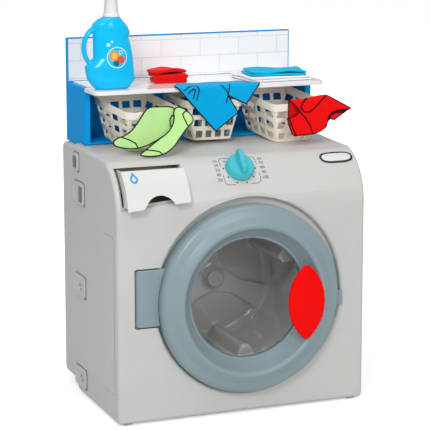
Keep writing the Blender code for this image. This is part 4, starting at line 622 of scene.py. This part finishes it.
def oval(name, half, low, high, finish):
    """A low oval plate wrapped on the panel, its upper edge eased."""
    shape = bmesh.new()
    bmesh.ops.create_circle(shape, cap_ends=True, radius=1.0, segments=48)
    for point in shape.verts:
        for axis, power in enumerate(PLATE_FULLNESS):
            share = point.co[axis]
            point.co[axis] = math.copysign(abs(share) ** power * half[axis], share)
    shape.normal_update()
    raised = bmesh.ops.extrude_face_region(shape, geom=shape.faces[:])["geom"]
    top = [v for v in raised if isinstance(v, bmesh.types.BMVert)]
    bmesh.ops.translate(shape, verts=top, vec=(0, 0, high - low))
    bmesh.ops.recalc_face_normals(shape, faces=shape.faces)
    rim = [e for e in shape.edges if e.verts[0] in top and e.verts[1] in top]
    bmesh.ops.bevel(shape, geom=rim, offset=PLATE_EASE, affect="EDGES", segments=2, profile=0.5, material=-1)
    bmesh.ops.translate(shape, verts=shape.verts, vec=(PLATE_CENTRE[0] - DIAL_X, PLATE_CENTRE[1], low))
    bmesh.ops.triangulate(shape, faces=shape.faces)
    on_panel(shape, 0.0)
    stand(name, shape, finish, "machine")


plate_finish = moulded("plate_white", colour(226, 228, 228), 0.3)
face_half = [half - PLATE_RIM for half in PLATE_HALF]
oval("oval_plate_rim", PLATE_HALF, 0.0001, 0.0009, ink_finish)
oval("oval_plate_face", face_half, 0.0007, 0.0012, plate_finish)

# Detergent drawer: a white front bent to the panel's curve, with returns at both sides and a finger
# notch; a tray is fixed behind it and runs in a sleeve. A cyan drop is printed at its upper left.
DRAWER_OPEN = 0.018
DROP_CENTRE = (-0.1880, 0.408)
DROP_RADIUS = 0.0068
DROP_LINE = 0.0030
DROP_TAPER = 0.75
DROP_STRETCH = 1.35
DROP_LIFT = 0.00015
white_finish = moulded("drawer_white", colour(222, 222, 220), 0.38)
refined("drawer_front", white_finish, "drawer", edge=0.0007)
tray_finish = moulded("tray_nylon", colour(206, 198, 188), 0.45)
dress(["drawer_tray", "drawer_sleeve"], tray_finish)
drop_finish = moulded("print_cyan", colour(20, 160, 220), 0.35)
drop = bmesh.new()
bmesh.ops.create_circle(drop, cap_ends=True, radius=DROP_RADIUS, segments=40)
for point in drop.verts:
    if point.co.y > 0:
        point.co.x *= 1.0 - DROP_TAPER * point.co.y / DROP_RADIUS
        point.co.y *= DROP_STRETCH
drop.normal_update()
bmesh.ops.inset_region(drop, faces=drop.faces[:], thickness=DROP_LINE, depth=0.0, use_boundary=True)
middle_face = max(drop.faces, key=lambda face: face.calc_area())
bmesh.ops.delete(drop, geom=[middle_face], context="FACES")
bmesh.ops.triangulate(drop, faces=drop.faces)
drop_reach = PANEL_RADIUS + DROP_LIFT
for point in drop.verts:
    rise = DROP_CENTRE[1] + point.co.y
    turn = math.asin((rise - PANEL_AXIS_Z) / drop_reach)
    point.co = Vector((DROP_CENTRE[0] + point.co.x,
                       FRONT_Y - DRAWER_OPEN + PANEL_RADIUS - drop_reach * math.cos(turn), rise))
stand("drawer_drop_print", drop, drop_finish, "drawer")

# Shelf unit: back panel, side walls, floor and ledges in one bright blue moulding of polypropylene,
# semi-gloss. It stands on the machine's top, with a step in its foot where the rear cover begins.
blue_finish = moulded("unit_blue", colour(0, 160, 236), 0.4, Specular_IOR_Level=0.04)
refined("shelf_unit", blue_finish, "machine", edge=0.0008)

# Tile panel: a white plastic sheet pressed with running-bond tiles and let into a recess of the blue back
# above the shelf, so that the blue frames it.
TILE_WIDTH = 0.0735
TILE_HEIGHT = 0.0305
TILE_LOW_Z = 0.5365
TILE_SLOPE = (0.0003, 0.0011)
tile_finish = Finish("tile_white_pressed")
tile_rise = (tile_finish.place.part(2) - TILE_LOW_Z) / TILE_HEIGHT
tile_row = tile_rise.math("FLOOR", tile_rise)
tile_run = tile_finish.place.part(0) / TILE_WIDTH + tile_row * 0.5
tile_up = tile_rise.math("FRACT", tile_rise) - 0.5
tile_along = tile_run.math("FRACT", tile_run) - 0.5
line_up = (0.5 - tile_up.math("ABSOLUTE", tile_up)) * TILE_HEIGHT
line_along = (0.5 - tile_along.math("ABSOLUTE", tile_along)) * TILE_WIDTH
tile_edge = line_up.math("MINIMUM", line_up, line_along)
tile_face = tile_edge.between(*TILE_SLOPE)
tile_drift = tile_finish.place.noise(30.0, 2.0)
tile_finish.feed("Base Color", tile_face.blend(colour(228, 231, 236), colour(252, 252, 253)))
tile_finish.feed("Roughness", tile_drift * 0.1 + 0.25)
tile_finish.relief(tile_face * 0.35 + tile_drift * 0.05, 0.0008)
refined("tile_panel", tile_finish, "machine")

# Shelf: a white injection-moulded board with round front corners, glossy enough to mirror what stands
# on it, laid between the unit's walls.
shelf_finish = moulded("shelf_white", colour(248, 248, 250), 0.10, grain=0.0, wave=0.0003, fleck=0.01,
                       Coat_Weight=0.3, Coat_Roughness=0.06)
refined("shelf", shelf_finish, "machine")

# Baskets: three tapered tubs of cream polypropylene with rows of punched holes and a stepped rim. They
# slide on the unit's floor; the outer two stand part way out and tip forwards over its front edge.
cream_finish = moulded("basket_cream", colour(252, 243, 228), 0.42)
for side in ("left", "middle", "right"):
    refined("basket_" + side, cream_finish, "basket_" + side, edge=0.0004, angle=50.0)

# Bottle: a blow-moulded detergent bottle in bright glossy blue with a handle at its left and a label
# printed on its front. A tapered white cap with fine ribs is screwed on its neck.
SHELF_TOP = 0.5328
BOTTLE_X, BOTTLE_Y = -0.168, 0.0405
BOTTLE_VOXEL = 0.0013
LABEL_X, LABEL_Z = BOTTLE_X + 0.0045, SHELF_TOP + 0.0530
LABEL_ENDS, LABEL_FULL = BOTTLE_Y - 0.004, BOTTLE_Y - 0.006
PRINT_BLUR = 0.0003
WHITE_PRINT = colour(240, 244, 246)
CAP_AXIS = Vector((BOTTLE_X + 0.0007, BOTTLE_Y, SHELF_TOP + 0.1198))
CAP_STEPS = 72
CAP_GROOVE = 0.05
GROOVE_LOW, GROOVE_HIGH = 0.0040, 0.0368
bottle_finish = moulded("bottle_blue", colour(0, 196, 250), 0.16, grain=0.0, wave=0.0001,
                        Specular_IOR_Level=0.3)
front_side = bottle_finish.place.part(1).between(LABEL_ENDS, LABEL_FULL)
label = bottle_finish.tone
for across, up, radius, line, tint in (
        (0.0, 0.0, 0.0175, 0.0011, WHITE_PRINT),
        (-0.0050, 0.0030, 0.0085, None, colour(244, 150, 60)),
        (-0.0050, 0.0030, 0.0048, None, colour(250, 196, 90)),
        (0.0065, -0.0040, 0.0068, None, colour(226, 92, 70)),
        (-0.0020, -0.0095, 0.0050, None, colour(24, 110, 130)),
        (0.0062, 0.0085, 0.0034, 0.0009, WHITE_PRINT),
        (-0.0145, 0.0215, 0.0028, None, WHITE_PRINT),
        (-0.0085, 0.0265, 0.0018, None, WHITE_PRINT)):
    mask = 1.0 - bottle_finish.place.far(LABEL_X + across, LABEL_Z + up, radius, PRINT_BLUR)
    if line:
        mask = mask * bottle_finish.place.far(LABEL_X + across, LABEL_Z + up, radius - line, PRINT_BLUR)
    label = (mask * front_side).blend(label, tint)
bottle_finish.feed("Base Color", label)
softened("bottle", bottle_finish, "bottle", BOTTLE_VOXEL, passes=4)
cap_finish = moulded("cap_white", colour(238, 239, 240), 0.3)
cap_skirt = [(0.0, 0.0), (0.0140, 0.0), (0.0140, 0.0028)] + bend((0.0133, 0.0033), 0.0007, 0, 90, 3)
cap_cone = [(0.0123, 0.0046), (0.0097, 0.0365)] + bend((0.0085, 0.0368), 0.0012, 5, 90, 4) + [(0.0, 0.0380)]
cap = spun("cap_ribbed", cap_skirt + cap_cone, CAP_STEPS, cap_finish, "bottle", "bottle_cap", axis=CAP_AXIS,
           turn=Matrix.Identity(3))
for vertex in cap.data.vertices:
    out = vertex.co - CAP_AXIS
    step = round(math.atan2(out.y, out.x) / (2 * math.pi) * CAP_STEPS)
    if GROOVE_LOW < out.z < GROOVE_HIGH and step % 2:
        vertex.co.x -= out.x * CAP_GROOVE
        vertex.co.y -= out.y * CAP_GROOVE

# Socks: two cut from one piece of light green felt each, with the outline, heel and toe printed in black.
# They lean on the left basket, one in front of the other, their toes on the machine's top.
NET = 0.0012
NET_WELD = 1e-5
FELT_THICKNESS = 0.0013
RIM_LINE = 0.0020
PRINT_LINE = 0.0011
PER_CENTIMETRE = 100.0
INK_BLUR = 0.00015 * PER_CENTIMETRE
SOCK_RIPPLE = 0.0009


def rounded_cut(points):
    """An outline with its corners cut back twice, so that it runs smooth."""
    for _ in range(2):
        pairs = list(zip(points, points[1:] + points[:1]))
        points = [(a[0] * share + b[0] * (1 - share), a[1] * share + b[1] * (1 - share))
                  for a, b in pairs for share in (0.75, 0.25)]
    return points


def nearest(point, lines):
    """The distance from a point to the nearest of some open lines."""
    least = 1.0
    for line in lines:
        for a, b in zip(line, line[1:]):
            a, b = Vector(a), Vector(b)
            run = b - a
            share = max(0.0, min(1.0, (point - a).dot(run) / run.length_squared))
            least = min(least, (point - a - run * share).length)
    return least


def cut_cloth(outline, prints):
    """A flat cut of cloth in a fine net whose points keep their distance to the edge and the prints."""
    shape = bmesh.new()
    shape.faces.new([shape.verts.new((x, y, 0)) for x, y in outline])
    shape.normal_update()
    bmesh.ops.triangulate(shape, faces=shape.faces, ngon_method="EAR_CLIP")
    for axis in (0, 1):
        low = min(p[axis] for p in outline)
        high = max(p[axis] for p in outline)
        normal = Vector((1 - axis, axis, 0))
        for step in range(1, int((high - low) / NET) + 1):
            everything = shape.verts[:] + shape.edges[:] + shape.faces[:]
            bmesh.ops.bisect_plane(shape, geom=everything, dist=WELD / 2, plane_no=normal,
                                   plane_co=normal * (low + step * NET))
    bmesh.ops.remove_doubles(shape, verts=shape.verts, dist=NET_WELD)
    edge = shape.verts.layers.float.new("edge")
    drawn = shape.verts.layers.float.new("print")
    rim = [outline + outline[:1]]
    for point in shape.verts:
        point[edge] = nearest(point.co.xy, rim) * PER_CENTIMETRE
        point[drawn] = nearest(point.co.xy, prints) * PER_CENTIMETRE
    area = sum(face.calc_area() for face in shape.faces)
    size = tuple(max(p[axis] for p in outline) - min(p[axis] for p in outline) for axis in (0, 1))
    return shape, area, size


def felt(name, tint, ink=None, line=PRINT_LINE, deep=None):
    """Felt: short matted fibres with a sheen, with a rim and drawn lines in ink where it is printed."""
    finish = Finish(name, Sheen_Weight=0.08, Sheen_Roughness=0.5, Specular_IOR_Level=0.1)
    fibres = finish.place.noise(2600.0, 3.0, 0.7)
    patch = finish.place.noise(60.0, 3.0)
    darker = deep or tuple(channel * 0.86 for channel in tint[:3]) + (1.0,)
    cloth = (patch + fibres * 0.6 + 0.5).blend(darker, tint)
    if ink:
        bare = []
        for kept, half_width in (("edge", RIM_LINE), ("print", line)):
            inked = half_width * PER_CENTIMETRE
            bare.append(finish.drawn(kept).between(inked - INK_BLUR, inked + INK_BLUR))
        cloth = bare[0].math("MINIMUM", *bare).blend(ink, cloth)
    finish.feed("Base Color", cloth)
    finish.feed("Roughness", fibres * 0.1 + 0.9)
    finish.relief(fibres * 0.5 + patch * 0.6, 0.0005)
    return finish


def lay_out(name, shape, finish, body, node, thickness=FELT_THICKNESS):
    """A laid cloth as a finished piece: it gets its thickness."""
    bmesh.ops.recalc_face_normals(shape, faces=shape.faces)
    piece = stand(name, shape, finish, body, node, angle=180.0)
    both_faces = piece.modifiers.new("cloth thickness", "SOLIDIFY")
    both_faces.thickness = thickness
    both_faces.offset = 0.0
    return piece


BLACK_INK = colour(26, 30, 28)
green_felt = felt("felt_green", colour(196, 242, 158), BLACK_INK)
INNER_SOCK = [(-0.0129, 0.0804), (0.0089, 0.0798), (0.0298, 0.0791), (0.0388, 0.0715), (0.0446, 0.0568),
              (0.0430, 0.0479), (0.0270, 0.0371), (0.0052, 0.0250), (-0.0201, 0.0139), (-0.0410, 0.0108),
              (-0.0707, 0.0161), (-0.0767, 0.0235), (-0.0715, 0.0312), (-0.0487, 0.0370), (-0.0306, 0.0555)]
INNER_PRINTS = [[(-0.0600, 0.0325), (-0.0480, 0.0280), (-0.0366, 0.0212), (-0.0324, 0.0125)],
                [(0.0400, 0.0645), (0.0290, 0.0628), (0.0254, 0.0561), (0.0262, 0.0470), (0.0288, 0.0385)]]
OUTER_SOCK = [(0.0300, 0.0810), (0.0415, 0.0856), (0.0554, 0.0764), (0.0633, 0.0657), (0.0628, 0.0564),
              (0.0512, 0.0476), (0.0347, 0.0301), (0.0230, 0.0160), (0.0040, 0.0034), (-0.0208, 0.0013),
              (-0.0424, 0.0060), (-0.0283, 0.0145), (-0.0050, 0.0300), (0.0160, 0.0420), (0.0290, 0.0600)]
OUTER_PRINTS = [[(0.0575, 0.0762), (0.0490, 0.0745), (0.0455, 0.0700), (0.0470, 0.0630), (0.0525, 0.0490)],
                [(-0.0300, 0.0150), (-0.0150, 0.0125), (-0.0044, 0.0095), (0.0026, 0.0030)]]


def lean(shape, base, tilt):
    """Stands a flat cut on its lower edge, tilted back, with a soft ripple across it."""
    for point in shape.verts:
        across, up, _ = point.co
        slow = math.sin(across * 55.0 + 0.8) * math.cos(up * 38.0)
        quick = 0.4 * math.sin(up * 90.0 + across * 40.0)
        out = SOCK_RIPPLE * (slow + quick)
        point.co = Vector((base[0] + across, base[1] + up * math.sin(tilt) - out * math.cos(tilt),
                           base[2] + up * math.cos(tilt) + out * math.sin(tilt)))


for node, outline, prints, base, tilt in (
        ("sock_inner", INNER_SOCK, INNER_PRINTS, (-0.1192, -0.0485, 0.4305), 9.6),
        ("sock_outer", OUTER_SOCK, OUTER_PRINTS, (-0.1192, -0.0745, 0.4303), 24.0)):
    shape, area, flat = cut_cloth(rounded_cut(outline), prints)
    lean(shape, base, math.radians(tilt))
    lay_out(node + "_felt", shape, green_felt, "basket_left", node)

# Shorts: blue felt with a printed outline, a pocket and a fly. The waist lies on the shelf and the legs
# hang over its front edge above the middle basket.
SHELF_EDGE_Y = FRONT_Y + 0.1335
SHELF_REST_Z = SHELF_TOP + 0.0012
BEND_RADIUS = 0.0030
SHORTS_X = 0.005
SHORTS_WAVE = 0.0009
SHORTS_OFF_EDGE = 0.0005
SHORTS = [(-0.0742, 0.0020), (-0.0374, -0.0401), (-0.0020, -0.0790), (0.0396, -0.0479), (0.0217, -0.0192),
          (0.0535, -0.0347), (0.0794, 0.0003), (0.0800, 0.0150), (0.0650, 0.0185), (0.0545, 0.0370),
          (-0.0560, 0.0390), (-0.0700, 0.0180)]
SHORTS_PRINTS = [[(-0.0600, -0.0060), (-0.0470, 0.0010), (-0.0360, 0.0010), (-0.0320, -0.0060),
                  (-0.0370, -0.0230)],
                 [(-0.0520, -0.0110), (-0.0440, -0.0040), (-0.0390, -0.0050), (-0.0430, -0.0200)],
                 [(0.0060, 0.0020), (0.0160, -0.0080), (0.0230, -0.0200)],
                 [(0.0235, 0.0010), (0.0215, -0.0090), (0.0170, -0.0300)]]
NAVY_INK = colour(14, 24, 44)
blue_felt = felt("felt_blue", colour(0, 178, 240), NAVY_INK)
shape, area, flat = cut_cloth(SHORTS, SHORTS_PRINTS)
quarter = BEND_RADIUS * math.pi / 2
for point in shape.verts:
    across, up, _ = point.co
    wave = SHORTS_WAVE * math.sin(across * 60.0 + up * 30.0)
    over = up + BEND_RADIUS
    if over <= 0.0:
        y = SHELF_EDGE_Y - wave * min(1.0, -over * 80.0) - SHORTS_OFF_EDGE
        z = SHELF_REST_Z - BEND_RADIUS + over
    elif over <= quarter:
        turn = over / BEND_RADIUS
        y = SHELF_EDGE_Y + BEND_RADIUS * (1 - math.cos(turn))
        z = SHELF_REST_Z - BEND_RADIUS * (1 - math.sin(turn))
    else:
        y = SHELF_EDGE_Y + BEND_RADIUS + over - quarter
        z = SHELF_REST_Z + abs(wave) * min(1.0, (over - quarter) * 60.0)
    point.co = Vector((SHORTS_X + across, y, z))
lay_out("shorts_felt", shape, blue_felt, "basket_middle", "shorts")

# Shirt: red felt with a printed neck, sleeve hems and seam in dark red. It hangs over the right basket's
# front rim with one sleeve reaching forwards, and its back falls inside the basket.
RIM_Y = FRONT_Y + 0.0961
RIM_Z = 0.5005
RIM_TURN = math.radians(4.7)
ROLL_RADIUS = 0.0045
ROLL_LEAD = 0.0040
SHIRT_X = 0.143
SHIRT_WAVE = 0.0012
SLEEVE_FROM, SLEEVE_FORWARD = 0.052, 0.35
CROWN_LOW, CROWN_RISE, CROWN_X, CROWN_SPREAD = 0.0070, 0.0050, 0.045, 0.030
HANG_LEAN = 0.06
SHIRT = [(-0.0216, 0.0060), (-0.0216, 0.0560), (0.0460, 0.0600), (0.0480, 0.0150), (0.0527, 0.0118),
         (0.0907, -0.0098), (0.0825, -0.0156), (0.0615, -0.0312), (0.0547, -0.0287), (0.0500, -0.0340),
         (0.0476, -0.0419), (0.0360, -0.0485), (0.0223, -0.0523), (-0.0139, -0.0539), (-0.0195, -0.0505),
         (-0.0240, -0.0370), (-0.0284, -0.0222), (-0.0130, -0.0185), (-0.0040, -0.0120), (-0.0140, -0.0010)]
SHIRT_PRINTS = [[(0.0480, 0.0120), (0.0380, 0.0050), (0.0260, -0.0060), (0.0140, -0.0140), (0.0040, -0.0130),
                 (-0.0020, -0.0060), (0.0020, 0.0030), (0.0120, 0.0100)],
                [(-0.0045, -0.0120), (0.0060, -0.0230), (0.0150, -0.0370), (0.0200, -0.0520)],
                [(-0.0245, -0.0215), (-0.0190, -0.0370), (-0.0115, -0.0530)],
                [(0.0500, -0.0330), (0.0520, -0.0240), (0.0590, -0.0170), (0.0720, -0.0130),
                 (0.0850, -0.0130)],
                [(0.0530, -0.0300), (0.0560, -0.0220), (0.0640, -0.0175), (0.0800, -0.0165)]]
red_felt = felt("felt_red", colour(255, 8, 14), colour(62, 8, 16), line=0.0015)
shape, area, flat = cut_cloth(SHIRT, SHIRT_PRINTS)
for point in shape.verts:
    across, up, _ = point.co
    crown = CROWN_LOW + CROWN_RISE * math.exp(-((across - CROWN_X) / CROWN_SPREAD) ** 2)
    hang = SHIRT_WAVE * math.sin(across * 70.0) * min(1.0, max(0.0, crown - up) * 60.0)
    away = max(0.0, across - SLEEVE_FROM) * SLEEVE_FORWARD
    over = up - crown + ROLL_LEAD
    if over <= 0.0:
        y = RIM_Y - ROLL_LEAD + (up - crown) * HANG_LEAN - hang - away
        z = RIM_Z + up
    else:
        turn = min(over / ROLL_RADIUS, math.pi)
        y = RIM_Y - ROLL_LEAD + ROLL_RADIUS * (1 - math.cos(turn))
        z = RIM_Z + crown - ROLL_LEAD + ROLL_RADIUS * math.sin(turn) - max(0.0, over - ROLL_RADIUS * math.pi)
    point.co = Vector((SHIRT_X + across, y + across * math.sin(RIM_TURN), z))
lay_out("shirt_felt", shape, red_felt, "basket_right", "shirt")

# Folded cloth and towels: strips of soft fabric folded back and forth into flat stacks that lie on the
# shelf; the towels have a looped pile, and their folds stand a little open.
FOLD_NET = 0.0035
LAYER_STEPS = 14
TURN_STEPS = 6


def folded(layers, length, pitch, width, waves, lift, seed):
    """A strip folded back and forth: its path is drawn as edges, extruded across, then pressed uneven."""
    radius = pitch / 2
    path = []
    for layer in range(layers):
        height = pitch * layer
        first, last, side = (0.0, length, 1) if layer % 2 == 0 else (length, 0.0, -1)
        path += [(first + (last - first) * i / LAYER_STEPS, height) for i in range(LAYER_STEPS + 1)]
        if layer < layers - 1:
            path += [(last + side * radius * math.sin(a), height + radius - radius * math.cos(a))
                     for a in (math.pi * k / TURN_STEPS for k in range(1, TURN_STEPS))]
    shape = bmesh.new()
    line = [shape.verts.new((x, 0, z)) for x, z in path]
    edges = [shape.edges.new((a, b)) for a, b in zip(line, line[1:])]
    columns = int(width / FOLD_NET)
    for _ in range(columns):
        grown = bmesh.ops.extrude_edge_only(shape, edges=edges)["geom"]
        edges = [item for item in grown if isinstance(item, bmesh.types.BMEdge)]
        bmesh.ops.translate(shape, vec=(0, width / columns, 0),
                            verts=[item for item in grown if isinstance(item, bmesh.types.BMVert)])
    area = sum(face.calc_area() for face in shape.faces)
    top = max(z for _, z in path)
    for point in shape.verts:
        x, y, z = point.co
        drift = math.sin(x * 70 + seed) * math.cos(y * 55 + seed * 2) + 0.5 * math.sin(y * 120 + z * 300)
        crest = math.sin(2.2 * y / width + 0.4) + 0.5 * math.sin(5.0 * y / width + 3.0 * x / length)
        point.co.x += waves * 1.6 * math.sin(z * 900 + y * 40 + seed)
        point.co.y += waves * 1.2 * math.sin(z * 700 + x * 35 + seed)
        point.co.z += (waves * drift + lift * crest) * z / top
    run = layers * length + (layers - 1) * math.pi * radius
    return shape, area, (width, run)


def stack(node, name, body, finish, thickness, corner, turn, **folds):
    """A folded strip that lies on the shelf with its first corner at a place, turned by degrees."""
    shape, area, flat = folded(**folds)
    low = min(point.co.z for point in shape.verts)
    bmesh.ops.translate(shape, vec=(0, 0, -low), verts=shape.verts)
    bmesh.ops.rotate(shape, cent=(0, 0, 0), verts=shape.verts,
                     matrix=Matrix.Rotation(math.radians(turn), 3, "Z"))
    bmesh.ops.translate(shape, vec=corner, verts=shape.verts)
    pile = lay_out(name, shape, finish, body, node, thickness)
    soft = pile.modifiers.new("soft pile", "SUBSURF")
    soft.levels = soft.render_levels = 1


cloth_red = felt("cloth_red", colour(252, 14, 16), deep=colour(226, 4, 10))
white_pile = felt("towel_white", colour(252, 252, 253), deep=colour(240, 240, 244))
teal_pile = felt("towel_teal", colour(0, 200, 240), deep=colour(0, 176, 218))
stack("folded_cloth", "folded_cloth_red", "folded_cloth", cloth_red, thickness=0.0056,
      corner=(-0.0755, 0.1190, SHELF_TOP + 0.0026), turn=-96.0,
      layers=3, length=0.046, pitch=0.0072, width=0.058, waves=0.0020, lift=0.0030, seed=1.0)
stack("towel_white", "towel_white_folded", "towels", white_pile, thickness=0.0036,
      corner=(0.0765, 0.0190, SHELF_TOP + 0.0019), turn=1.0,
      layers=2, length=0.112, pitch=0.0040, width=0.092, waves=0.0005, lift=0.0, seed=2.0)
stack("towel_teal", "towel_teal_folded", "towels", teal_pile, thickness=0.0036,
      corner=(0.0830, 0.0340, SHELF_TOP + 0.0103), turn=-7.0,
      layers=2, length=0.098, pitch=0.0040, width=0.064, waves=0.0015, lift=0.0, seed=3.0)

low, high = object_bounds()
